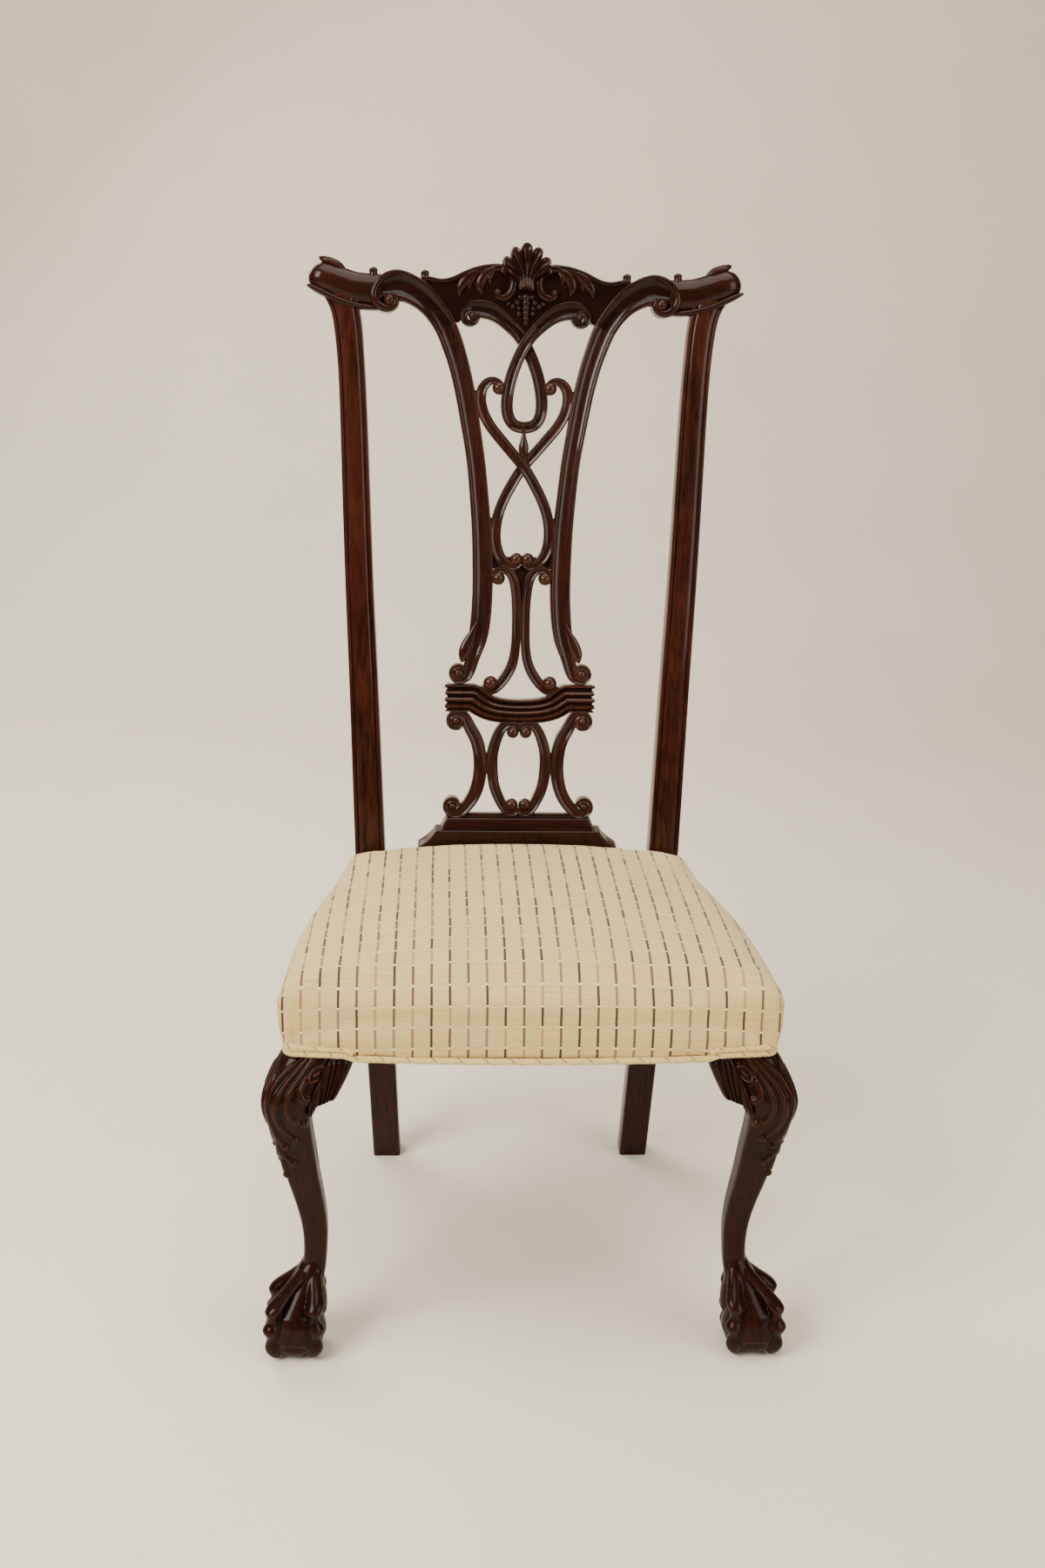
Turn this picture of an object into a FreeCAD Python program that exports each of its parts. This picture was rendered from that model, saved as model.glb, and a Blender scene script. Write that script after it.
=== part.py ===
"""Chippendale side chair: carved pierced back, cabriole front legs, seat upholstered over the rails.

Millimetres, +Z up, +Y towards the back. The pieces are laid out with the seat frame's front
corners on y = 0 and are shifted at the end, so that the origin lies on the floor under the
middle of the chair. Left and right are as seen from the front.
"""
import FreeCAD, Part
import math
import os

V = FreeCAD.Vector

# Seat frame
FRAME_FRONT_WIDTH = 506.0
FRAME_REAR_WIDTH = 407.0
FRAME_DEPTH = 402.0
FRAME_BOTTOM = 356.0
RAIL_HEIGHT = 69.0
RAIL_THICKNESS = 24.0
REAR_RAIL_THICKNESS = 38.0
REAR_RAIL_LEDGE = 10.0
FRONT_RAIL_BOW = 12.0
LEG_BLOCK = 44.0
LEG_BLOCK_ROUND = 9.0
TENON_HEIGHT = 44.0
TENON_THICKNESS = 10.0
TENON_LENGTH = 15.0
FIT = 0.15

# Back posts
POST_WIDTH = 37.0
POST_DEPTH = 36.0
POST_TOP_WIDTH = 31.0
POST_TOP_DEPTH = 26.0
POST_FOOT_WIDTH = 35.0
POST_FOOT_SPACING = 330.0
POST_FOOT_KICK = 19.0
POST_FLARE_SPACING = 411.0
POST_FLARE_LENGTH = 98.0
POST_TOP_SPACING = 434.0
POST_CHAMFER = 3.0
POST_EDGE_BEAD = 4.5
POST_EDGE_DROP = 2.6
BACK_START = 17.0
BACK_RAKE = 6.84

# Pierced splat, measured along the raked back
SPLAT_HEIGHT = 594.0
SPLAT_TOP_WIDTH = 214.0
SPLAT_THICKNESS = 16.0
SPLAT_SETBACK = 5.0
SPLAT_TENON = 8.0
SPLAT_TENON_DEPTH = 15.0
STRAP_WIDTH = 23.0
RIBBON_WIDTH = 13.5
LACE_WIDTH = 12.0
SCROLL_WIDTH = 14.0
BAND_WIDTH = 32.0
BAND_RIDGE = 7.0
RELIEF = 2.5

# Shoe under the splat
SHOE_HEIGHT = 57.0
SHOE_PLINTH = 23.0
SHOE_BASE_WIDTH = 236.0
SHOE_TOP_WIDTH = 188.0
SHOE_COVE = 5.0
SHOE_NAIL_RADIUS = 1.25
SHOE_NAIL_LENGTH = 40.0
SHOE_NAIL_SPACING = 200.0

# Crest rail
CREST_HEIGHT = 97.0
CREST_THICKNESS = 24.0
CREST_SETBACK = 1.0
CREST_POST_RISE = 25.0
EAR_REACH = 41.0
EAR_RADIUS = 15.0
SHELL_BASE_RISE = 43.0
SHELL_LOBE = 6.2
CREST_KNOB = 4.5
VOLUTE_RADIUS = 11.0

# Cabriole front legs
KNEE_SEAT = 31.0
BALL_RADIUS = 27.0
BALL_FLAT = 2.0
ANKLE_SHARE = 0.80
LEG_EASE = 0.28
FOOT_INSET = 1.0
BRACKET_LENGTH = 38.0
BRACKET_DROP = 58.0
BRACKET_BACK = 22.0

# Corner blocks and their screws
CORNER_REACH = 58.0
CORNER_HEIGHT = 32.0
SCREW_RADIUS = 2.0
SCREW_HEAD_RADIUS = 4.0
SCREW_HEAD = 3.0
SCREW_BITE = 16.0

# Upholstery
WEB_WIDTH = 50.0
WEB_THICKNESS = 1.5
WEB_PITCH_ACROSS = 90.0
WEB_PITCH_ALONG = 80.0
WEB_COUNT = 4
WEB_MARGIN = 2.0
SHEET_THICKNESS = 0.9
TACK_HEAD_RADIUS = 3.5
TACK_HEAD = 1.0
TACK_SHANK = 1.6
TACK_LENGTH = 11.0
COVER_THICKNESS = 1.6
COVER_HEM = 8.0
SEAT_STAND_OUT = 8.0
SEAT_SWELL = 3.0
SEAT_EDGE_HEIGHT = 16.0
SEAT_CROWN = 24.0
SEAT_CORNER = 14.0
WELT_RADIUS = 3.5
WELT_CORNER_REACH = 68.0
SOFT_GAP = 0.3

# Flats on round forms
ROD_SIDES = 12
EYE_SIDES = 12
TALON_SIDES = 8
BALL_SIDES = 20
BALL_RINGS = 7
WELT_SIDES = 8
TACK_SIDES = 6
BOW_STEPS = 5
CORNER_STEPS = 3
LEG_RINGS = 15

FRAME_TOP = FRAME_BOTTOM + RAIL_HEIGHT
RAIL_MIDDLE = FRAME_BOTTOM + RAIL_HEIGHT / 2
HALF_FRONT = FRAME_FRONT_WIDTH / 2
HALF_REAR = FRAME_REAR_WIDTH / 2
SIDE_SLOPE = (HALF_FRONT - HALF_REAR) / FRAME_DEPTH
SIDE_THICKNESS_X = RAIL_THICKNESS * math.hypot(1, SIDE_SLOPE)
BLOCK_INNER = HALF_FRONT - LEG_BLOCK
REAR_RAIL_FRONT = FRAME_DEPTH - REAR_RAIL_LEDGE
REAR_RAIL_BACK = REAR_RAIL_FRONT + REAR_RAIL_THICKNESS
POST_SEAT_X = HALF_REAR - POST_WIDTH / 2
SEAT_LINE = FRAME_TOP + BACK_START
SPLAT_FOOT = SHOE_HEIGHT - BACK_START
CREST_JOINT = SPLAT_FOOT + SPLAT_HEIGHT
POST_TOP = CREST_JOINT + CREST_POST_RISE
SPLAT_HALF = SPLAT_TOP_WIDTH / 2
CREST_HALF = POST_TOP_SPACING / 2 + EAR_REACH
CREST_BACK = CREST_SETBACK + CREST_THICKNESS
WEB_TOP = FRAME_TOP + 2 * WEB_THICKNESS + FIT
SHEET_BOTTOM = WEB_TOP + TACK_HEAD + FIT
PAD_BOTTOM = SHEET_BOTTOM + SHEET_THICKNESS + SOFT_GAP
COVER_BOTTOM = FRAME_BOTTOM + COVER_HEM
SEAT_REAR = FRAME_DEPTH - SOFT_GAP

pieces = {}


def mirrored(shape):
    return shape.mirror(V(0, 0, 0), V(1, 0, 0))


def add_pair(name, right_piece):
    """Store a right-hand piece and its mirror image."""
    pieces[name + "_right"] = right_piece
    pieces[name + "_left"] = mirrored(right_piece)


def prism(points, bottom, top):
    """Upright prism over a plan outline."""
    corners = [V(x, y, bottom) for x, y in points]
    return Part.Face(closed_ring(corners)).extrude(V(0, 0, top - bottom))


def closed_ring(points):
    return Part.makePolygon(points + points[:1])


def round_points(centre, radius, sides):
    """Level ring of corners about a centre."""
    ring = []
    for side in range(sides):
        angle = 2 * math.pi * side / sides
        ring.append(centre + V(math.cos(angle), math.sin(angle), 0) * radius)
    return ring


def stacked(rings):
    """Solid with flat sides through level rings of corners whose edges run parallel."""
    faces = [Part.Face(closed_ring(rings[0])), Part.Face(closed_ring(rings[-1]))]
    for low, high in zip(rings, rings[1:]):
        for k in range(len(low)):
            faces.append(Part.Face(closed_ring([low[k - 1], low[k], high[k], high[k - 1]])))
    shell = Part.makeShell(faces)
    shell.sewShape()
    return Part.makeSolid(shell)


def rounded_corner(corner, before, after, radius):
    """Points on the round that replaces a corner; before and after point away from it."""
    points = []
    for k in range(CORNER_STEPS + 1):
        angle = math.pi / 2 * k / CORNER_STEPS
        offset = before * (1 - math.sin(angle)) + after * (1 - math.cos(angle))
        points.append(corner + offset * radius)
    return points


def box_between(low, high):
    size = high - low
    return Part.makeBox(size.x, size.y, size.z, low)


def arc_run(points):
    """Chain of arcs through an odd number of points, two steps at a time."""
    edges = []
    for first, middle, last in zip(points[0::2], points[1::2], points[2::2]):
        bend = (middle - first).cross(last - first).Length
        if bend > 1e-6:
            edges.append(Part.Arc(first, middle, last).toShape())
        else:
            edges.append(Part.makeLine(first, last))
    return edges


def rod(radius, length, base, aim, sides=ROD_SIDES):
    """Straight round bar with flats, from base along aim."""
    return tube([(base, radius), (base + aim * length, radius)], sides, aim.cross(V(0.3, 0.5, 0.8)))


def tube(stations, sides, over):
    """Round bar through (centre, radius) stations that lie in the plane square to over."""
    over = V(over).normalize()
    rings = []
    for k, (centre, radius) in enumerate(stations):
        before = stations[max(k - 1, 0)][0]
        after = stations[min(k + 1, len(stations) - 1)][0]
        across = (after - before).cross(over).normalize()
        ring = []
        for side in range(sides):
            angle = 2 * math.pi * side / sides
            ring.append(centre + (across * math.cos(angle) + over * math.sin(angle)) * radius)
        rings.append(closed_ring(ring))
    return Part.makeLoft(rings, True, True)


def on_back(shape):
    """Lean a piece drawn upright (x, depth, rise above the seat line) on to the raked back."""
    leaned = shape.copy()
    leaned.rotate(V(0, 0, 0), V(1, 0, 0), -BACK_RAKE)
    leaned.translate(V(0, FRAME_DEPTH, SEAT_LINE))
    return leaned


def side_outer_x(y):
    """Outer face of the right side rail."""
    return HALF_FRONT - SIDE_SLOPE * y


def side_inner_x(y):
    return side_outer_x(y) - SIDE_THICKNESS_X


# Back posts
def post_x(rise):
    """Centre of the right post at a height above the seat line: straight, then flared."""
    flare_start = POST_TOP - POST_FLARE_LENGTH
    flare_x = POST_FLARE_SPACING / 2
    if rise <= flare_start:
        return POST_SEAT_X + (flare_x - POST_SEAT_X) * rise / flare_start
    turn = (rise - flare_start) / POST_FLARE_LENGTH
    return flare_x + (POST_TOP_SPACING / 2 - flare_x) * turn ** 2


def post_section(rise):
    """Moulded section: a bead along each edge and a rounded middle."""
    share = rise / POST_TOP
    half = (POST_WIDTH + (POST_TOP_WIDTH - POST_WIDTH) * share) / 2
    depth = POST_DEPTH + (POST_TOP_DEPTH - POST_DEPTH) * share
    x = post_x(rise)
    bead = half - POST_EDGE_BEAD
    groove = POST_EDGE_DROP * 1.5
    front = [(half, POST_EDGE_DROP), (bead, POST_EDGE_DROP), (bead, groove), (bead * 0.45, 0)]
    outline = [(half, depth)] + front
    ring = [V(x + across, back, rise) for across, back in outline]
    ring += [V(x - across, back, rise) for across, back in reversed(outline)]
    return closed_ring(ring)


def leg_section(z):
    """Chamfered square of the rear leg below the seat."""
    share = max(0.0, 1 - z / FRAME_BOTTOM)
    drop = 1 - z / SEAT_LINE
    half = (POST_WIDTH + (POST_FOOT_WIDTH - POST_WIDTH) * share) / 2
    depth = POST_DEPTH + (POST_FOOT_WIDTH - POST_DEPTH) * share
    x = POST_SEAT_X + (POST_FOOT_SPACING / 2 - POST_SEAT_X) * drop
    front = FRAME_DEPTH + POST_FOOT_KICK * share ** 2
    cut = POST_CHAMFER
    ring = [
        V(x - half + cut, front, z), V(x + half - cut, front, z),
        V(x + half, front + cut, z), V(x + half, front + depth - cut, z),
        V(x + half - cut, front + depth, z), V(x - half + cut, front + depth, z),
        V(x - half, front + depth - cut, z), V(x - half, front + cut, z),
    ]
    return closed_ring(ring)


def make_post():
    flare_start = POST_TOP - POST_FLARE_LENGTH
    rises = [0.0, flare_start] + [flare_start + POST_FLARE_LENGTH * k / 4 for k in range(1, 5)]
    upper = Part.makeLoft([post_section(rise) for rise in rises], True, True)
    heights = [FRAME_BOTTOM * k / 4 for k in range(5)] + [SEAT_LINE + POST_CHAMFER]
    lower = Part.makeLoft([leg_section(z) for z in heights], True, True)
    return on_back(upper).fuse(lower).removeSplitter()


def post_tenon(clearance):
    """Tongue on top of the right post, drawn upright."""
    half = POST_TOP_WIDTH / 4 + clearance
    middle = (CREST_SETBACK + POST_TOP_DEPTH) / 2
    low = V(post_x(POST_TOP) - half, middle - TENON_THICKNESS / 2 - clearance, POST_TOP - clearance)
    high = V(post_x(POST_TOP) + half, middle + TENON_THICKNESS / 2 + clearance,
             POST_TOP + SPLAT_TENON_DEPTH + clearance)
    return box_between(low, high)


# Rails and their tenons
def rail_tenon(low_x, high_x, low_y, high_y, clearance):
    half = TENON_HEIGHT / 2 + clearance
    low = V(low_x - clearance, low_y - clearance, RAIL_MIDDLE - half)
    return box_between(low, V(high_x + clearance, high_y + clearance, RAIL_MIDDLE + half))


def front_rail_tenon(clearance=0.0):
    """Tongue from the front rail into the right leg block."""
    start_y = RAIL_THICKNESS / 2 - TENON_THICKNESS / 2
    return rail_tenon(BLOCK_INNER, BLOCK_INNER + TENON_LENGTH,
                      start_y, start_y + TENON_THICKNESS, clearance)


def side_front_tenon(clearance=0.0):
    x = side_outer_x(LEG_BLOCK) - SIDE_THICKNESS_X / 2
    return rail_tenon(x - TENON_THICKNESS / 2, x + TENON_THICKNESS / 2,
                      LEG_BLOCK - TENON_LENGTH, LEG_BLOCK, clearance)


def side_rear_tenon(clearance=0.0):
    x = side_outer_x(FRAME_DEPTH) - SIDE_THICKNESS_X / 2
    return rail_tenon(x - TENON_THICKNESS / 2, x + TENON_THICKNESS / 2,
                      FRAME_DEPTH, FRAME_DEPTH + TENON_LENGTH, clearance)


def rear_rail_tenon(clearance=0.0):
    """Set behind the side rail's tongue, so that the two don't meet inside the post."""
    start_x = POST_SEAT_X - POST_WIDTH / 2 - TENON_LENGTH / 2
    back = FRAME_DEPTH + POST_DEPTH - POST_CHAMFER * 2
    return rail_tenon(start_x, start_x + TENON_LENGTH * 1.5, back - TENON_THICKNESS, back, clearance)


def make_front_rail():
    ends = [V(-BLOCK_INNER, 0, FRAME_BOTTOM), V(BLOCK_INNER, 0, FRAME_BOTTOM)]
    bow = Part.Arc(ends[0], V(0, -FRONT_RAIL_BOW, FRAME_BOTTOM), ends[1]).toShape()
    inside = [V(x, RAIL_THICKNESS, FRAME_BOTTOM) for x in (BLOCK_INNER, -BLOCK_INNER)]
    corners = [ends[1]] + inside + [ends[0]]
    straight = [Part.makeLine(a, b) for a, b in zip(corners, corners[1:])]
    rail = Part.Face(Part.Wire([bow] + straight)).extrude(V(0, 0, RAIL_HEIGHT))
    tenon = front_rail_tenon()
    return rail.fuse([tenon, mirrored(tenon)]).removeSplitter()


def make_side_rail():
    plan = [
        (side_outer_x(LEG_BLOCK), LEG_BLOCK), (side_outer_x(FRAME_DEPTH), FRAME_DEPTH),
        (side_inner_x(FRAME_DEPTH), FRAME_DEPTH), (side_inner_x(LEG_BLOCK), LEG_BLOCK),
    ]
    rail = prism(plan, FRAME_BOTTOM, FRAME_TOP)
    return rail.fuse([side_front_tenon(), side_rear_tenon()]).removeSplitter()


def make_rear_rail(posts):
    """The rail's shoulders are cut to the slant of the posts, behind the ends of the side rails."""
    reach = POST_SEAT_X
    rail = box_between(V(-reach, FRAME_DEPTH, FRAME_BOTTOM), V(reach, REAR_RAIL_BACK, FRAME_TOP)).cut(posts)
    ledge = side_inner_x(FRAME_DEPTH)
    front = box_between(V(-ledge, REAR_RAIL_FRONT, FRAME_BOTTOM), V(ledge, FRAME_DEPTH, FRAME_TOP))
    tenon = rear_rail_tenon()
    return rail.fuse([front, tenon, mirrored(tenon)]).removeSplitter()


# Cabriole legs: percent of the height under the rails, how far the outer faces stand
# beyond the block, and the width of the rounded square there
LEG_STATIONS = [
    (100, 12.0, 56.0), (94, 24.0, 54.5), (87, 27.5, 53.0), (79, 24.0, 49.5), (70, 16.5, 43.5),
    (60, 6.5, 38.0), (50, -2.5, 31.5), (39, -9.0, 27.0), (31, -9.5, 25.5), (24, -4.0, 28.0),
    (17, 0.0, 34.0), (11, 2.0, 36.0),
]
# Toes, in ball radii: out from the foot's centre, up from the floor, and thickness
TALON_STATIONS = [
    (0.80, 2.35, 0.22), (1.08, 1.85, 0.29), (1.14, 1.40, 0.24), (1.20, 1.00, 0.29),
    (1.06, 0.50, 0.22), (0.86, 0.14, 0.10),
]
TALON_ANGLES = [45, 135, 225, 315]


def rounded_square(centre, width, radius):
    """Level ring of corners round a square with eased edges."""
    half = width / 2
    ring = []
    for x, y in ((1, 1), (-1, 1), (-1, -1), (1, -1)):
        before, after = V(0, -y, 0), V(-x, 0, 0)
        if x * y < 0:
            before, after = after, before
        ring += rounded_corner(centre + V(x * half, y * half, 0), before, after, radius)
    return ring


def make_talon(angle, foot, ankle):
    """One toe with two knuckles and a claw, gripping the ball."""
    away = V(math.cos(math.radians(angle)), math.sin(math.radians(angle)), 0)
    rings = [round_points(ankle + away * (BALL_RADIUS * 0.33), BALL_RADIUS * 0.19, TALON_SIDES)]
    for out, up, radius in TALON_STATIONS:
        centre = foot + (away * out + V(0, 0, up)) * BALL_RADIUS
        rings.append(round_points(centre, BALL_RADIUS * radius, TALON_SIDES))
    return stacked(rings)


def make_ball(foot):
    """Ball under the claw, flat where it stands."""
    lowest = math.asin(1 - BALL_FLAT / BALL_RADIUS)
    middle = foot + V(0, 0, BALL_RADIUS - BALL_FLAT)
    rings = []
    for k in range(BALL_RINGS):
        tilt = -lowest + 2 * lowest * k / (BALL_RINGS - 1)
        centre = middle + V(0, 0, BALL_RADIUS * math.sin(tilt))
        rings.append(round_points(centre, BALL_RADIUS * math.cos(tilt), BALL_SIDES))
    return stacked(rings)


def leg_station(curve, share):
    """Centre and width of the leg at a share of the way down its curve."""
    at = curve.value(curve.FirstParameter + (curve.LastParameter - curve.FirstParameter) * share)
    x = HALF_FRONT + at.x - at.y / 2
    return V(x, HALF_FRONT - x, FRAME_BOTTOM * at.z / 100), at.y


def make_front_leg():
    curve = Part.BSplineCurve()
    curve.interpolate([V(stand_out, width, percent) for percent, stand_out, width in LEG_STATIONS])
    rings = []
    for k in range(LEG_RINGS):
        centre, width = leg_station(curve, k / (LEG_RINGS - 1))
        rings.append(rounded_square(centre, width, width * LEG_EASE))
    shaft = stacked(rings)
    foot = V(HALF_FRONT - FOOT_INSET, FOOT_INSET, 0)
    ankle = leg_station(curve, ANKLE_SHARE)[0]
    talons = [make_talon(angle, foot, ankle) for angle in TALON_ANGLES]
    slant = V(-SIDE_SLOPE, 1, 0)
    outer = rounded_corner(V(HALF_FRONT, 0, 0), V(-1, 0, 0), slant, LEG_BLOCK_ROUND)
    plan = [(point.x, point.y) for point in outer]
    plan += [(side_outer_x(LEG_BLOCK), LEG_BLOCK), (BLOCK_INNER, LEG_BLOCK), (BLOCK_INNER, 0)]
    block = prism(plan, FRAME_BOTTOM, FRAME_TOP)
    leg = shaft.fuse([make_ball(foot), block] + talons)
    seat = HALF_FRONT - KNEE_SEAT
    low = FRAME_BOTTOM - BRACKET_DROP
    beside = box_between(V(seat - LEG_BLOCK, -LEG_BLOCK, low), V(seat, LEG_BLOCK * 2, FRAME_BOTTOM))
    behind = box_between(V(seat - LEG_BLOCK, KNEE_SEAT, low),
                         V(HALF_FRONT + LEG_BLOCK, KNEE_SEAT + LEG_BLOCK, FRAME_BOTTOM))
    return leg.cut([beside, behind, front_rail_tenon(FIT), side_front_tenon(FIT)]).removeSplitter()


def make_front_bracket():
    """Wing beside the knee: scrolled lower edge, face sweeping from the knee to the rail."""
    glue = HALF_FRONT - KNEE_SEAT
    drop = BRACKET_DROP
    reach = BRACKET_LENGTH
    lower = [(1.0, 0.0), (0.80, 0.53), (0.40, 0.93)]
    curve = [V(glue - reach * a, 0, FRAME_BOTTOM - drop * b) for a, b in lower]
    corners = [curve[-1], V(glue - reach * 0.18, 0, FRAME_BOTTOM - drop * 0.93),
               V(glue, 0, FRAME_BOTTOM - drop), V(glue, 0, FRAME_BOTTOM), curve[0]]
    straight = [Part.makeLine(a, b) for a, b in zip(corners, corners[1:])]
    face = Part.Face(Part.Wire(arc_run(curve) + straight))
    slab = face.extrude(V(0, LEG_BLOCK * 2, 0))
    slab.translate(V(0, -LEG_BLOCK, 0))
    plan = [(glue, -BRACKET_BACK), (glue, BRACKET_BACK), (glue - reach, BRACKET_BACK), (glue - reach, -1)]
    return slab.common(prism(plan, FRAME_BOTTOM - drop, FRAME_BOTTOM))


# Pierced splat: points are percent of half its top width, and percent of its height
OUTER_STRAP = [
    (87, 100), (75, 92.5), (63, 84), (53, 73.5), (47, 62.5), (44.5, 50.5), (47, 41.5), (54, 35), (68, 27),
]
UPPER_RIBBON = [
    (-14, 100.5), (0, 96.6), (9, 93), (15, 89.8), (18.5, 86.8), (18.5, 84), (15, 82), (8, 80.8), (-1, 80.5),
]
LACE = [
    (-33, 88.6), (-40, 88.8), (-46, 87.8), (-47, 85.9), (-43, 83.4), (-36, 80.5), (-24, 78),
    (-12, 75.3), (0, 72.7), (9, 70.2), (19, 66.9), (27, 63.4), (31, 59.8), (29, 56.3),
    (22, 54.1), (13, 53.2), (7, 53.9),
]
MIDDLE_SCROLL = [
    (-27, 50.2), (-19, 51), (-10, 49.5), (-7, 45.6), (-6, 40.2), (-7, 35.6), (-10, 32),
    (-18, 29.3), (-28, 27.3),
]
BAND_HALF = [(85, 25.3), (54, 25.3), (43, 24.2), (34, 23.1), (22, 22.7)]
LOWER_SCROLL = [
    (76, 22), (64, 21.4), (55, 19.2), (48.5, 15.5), (46, 11.5), (47.5, 7.8), (53, 4.6), (62, 2), (76, 0.4),
]
LOWER_OVAL = [
    (7, 18.8), (15, 19.2), (24, 17.2), (29.5, 14.2), (31.5, 11), (30, 8), (25.5, 5.2), (18, 2.6), (6, 0.4),
]
# Small scroll ends: where they sit, and their share of a volute's radius
EYES = [(-32, 88.6, 0.52), (7, 53.9, 0.52), (-27, 50.2, 0.6), (-33, 28.4, 0.7)]


def splat_point(across, up):
    return V(SPLAT_HALF * across / 100, 0, SPLAT_FOOT + SPLAT_HEIGHT * up / 100)


def strap(points, width, proud=0.0):
    """Band of even width along a smooth centre line; proud raises its face."""
    centre = Part.BSplineCurve()
    centre.interpolate(points)
    sides = []
    for side in (-0.5, 0.5):
        offsets = []
        for point in points:
            along = centre.tangent(centre.parameter(point))[0]
            offsets.append(point + V(along.z, 0, -along.x) * (width * side))
        sides.append(offsets)
    ends = [Part.makeLine(sides[0][k], sides[1][k]) for k in (0, -1)]
    face = Part.Face(Part.Wire(Part.sortEdges(arc_run(sides[0]) + arc_run(sides[1]) + ends)[0]))
    face.translate(V(0, SPLAT_SETBACK - proud, 0))
    return face.extrude(V(0, SPLAT_THICKNESS + proud, 0))


def boss(point, radius, proud):
    """Round scroll eye."""
    base = V(point.x, SPLAT_SETBACK - proud, point.z)
    return rod(radius, SPLAT_THICKNESS + proud, base, V(0, 1, 0), EYE_SIDES)


def splat_tenons(clearance):
    """Tongues into the crest above and into the shoe below."""
    front = SPLAT_SETBACK + (SPLAT_THICKNESS - SPLAT_TENON) / 2 - clearance
    back = front + SPLAT_TENON + 2 * clearance
    top = CREST_JOINT + SPLAT_TENON_DEPTH + clearance
    root = CREST_JOINT - SPLAT_TENON_DEPTH / 3
    strap_x = SPLAT_HALF * OUTER_STRAP[0][0] / 100
    half = STRAP_WIDTH * 0.36 + clearance
    tongues = []
    for x in (-strap_x, 0, strap_x):
        tongues.append(box_between(V(x - half, front, root), V(x + half, back, top)))
    foot_half = SPLAT_HALF * 0.76 + clearance
    low = V(-foot_half, front, SPLAT_FOOT - SPLAT_TENON_DEPTH - clearance)
    tongues.append(box_between(low, V(foot_half, back, SPLAT_FOOT + SPLAT_TENON_DEPTH / 4)))
    return tongues


def make_splat(shoe_blank):
    def scaled(points, flip=1):
        return [splat_point(across * flip, up) for across, up in points]

    # The lower volutes bite into the band's underside, whatever the splat's height
    volute_drop = (BAND_WIDTH / 2 + VOLUTE_RADIUS * 0.5) * 100 / SPLAT_HEIGHT
    volute_up = BAND_HALF[0][1] - volute_drop
    parts = []
    for flip in (-1, 1):
        parts.append(strap(scaled(OUTER_STRAP, flip), STRAP_WIDTH))
        parts.append(boss(splat_point(71 * flip, 30.6), VOLUTE_RADIUS, RELIEF))
        parts.append(strap(scaled(UPPER_RIBBON, flip), RIBBON_WIDTH, RELIEF * (1 - flip) / 2))
        parts.append(strap(scaled(LACE, flip), LACE_WIDTH, RELIEF * (1 + flip) / 2))
        for across, up, share in EYES:
            parts.append(boss(splat_point(across * flip, up), VOLUTE_RADIUS * share, RELIEF))
        parts.append(strap(scaled(MIDDLE_SCROLL, flip), LACE_WIDTH, RELIEF / 2))
        parts.append(strap(scaled(LOWER_SCROLL, flip), SCROLL_WIDTH))
        parts.append(strap(scaled(LOWER_OVAL, flip), LACE_WIDTH, RELIEF / 2))
        parts.append(boss(splat_point(74 * flip, volute_up), VOLUTE_RADIUS, RELIEF))
        parts.append(boss(splat_point(78 * flip, 2.2), VOLUTE_RADIUS, RELIEF))
        parts.append(boss(splat_point(8 * flip, 17.9), VOLUTE_RADIUS * 0.55, RELIEF))
        touch = splat_point(38.5 * flip, 11.5)
        parts.append(boss(touch, LACE_WIDTH * 0.6, -RELIEF))
    band = BAND_HALF + [(0, 22.5)] + [(-across, up) for across, up in reversed(BAND_HALF)]
    parts.append(strap(scaled(band), BAND_WIDTH, RELIEF))
    ridge_step = (BAND_WIDTH - BAND_RIDGE) / 2
    for level in (-1, 0, 1):
        ridge = [point + V(0, 0, level * ridge_step) for point in scaled(band)]
        parts.append(strap(ridge, BAND_RIDGE, 2 * RELIEF))
    parts.append(strap(scaled([(0, 80.5), (0, 77), (0, 72.7)]), LACE_WIDTH * 0.8, RELIEF / 2))
    parts.append(strap(scaled([(0, 49.5), (0, 40), (0, 31)]), LACE_WIDTH * 0.7, -RELIEF))
    parts.append(strap(scaled([(-40, 53), (0, 53), (40, 53)]), LACE_WIDTH * 1.3, -RELIEF))
    board = parts[0].fuse(parts[1:] + splat_tenons(0.0))
    above = box_between(V(-SPLAT_HALF, 0, CREST_JOINT),
                        V(SPLAT_HALF, CREST_BACK, CREST_JOINT + CREST_HEIGHT))
    tongues = Part.makeCompound(splat_tenons(0.0))
    board = board.cut(above.cut(tongues)).removeSplitter()
    return on_back(board).cut(shoe_blank)


# Shell lobes: share of the way to the tip, and share of the full thickness
SHELL_PROFILE = [(0.0, 0.3), (0.9, 1.0), (1.03, 0.9), (1.12, 0.5)]


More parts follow.
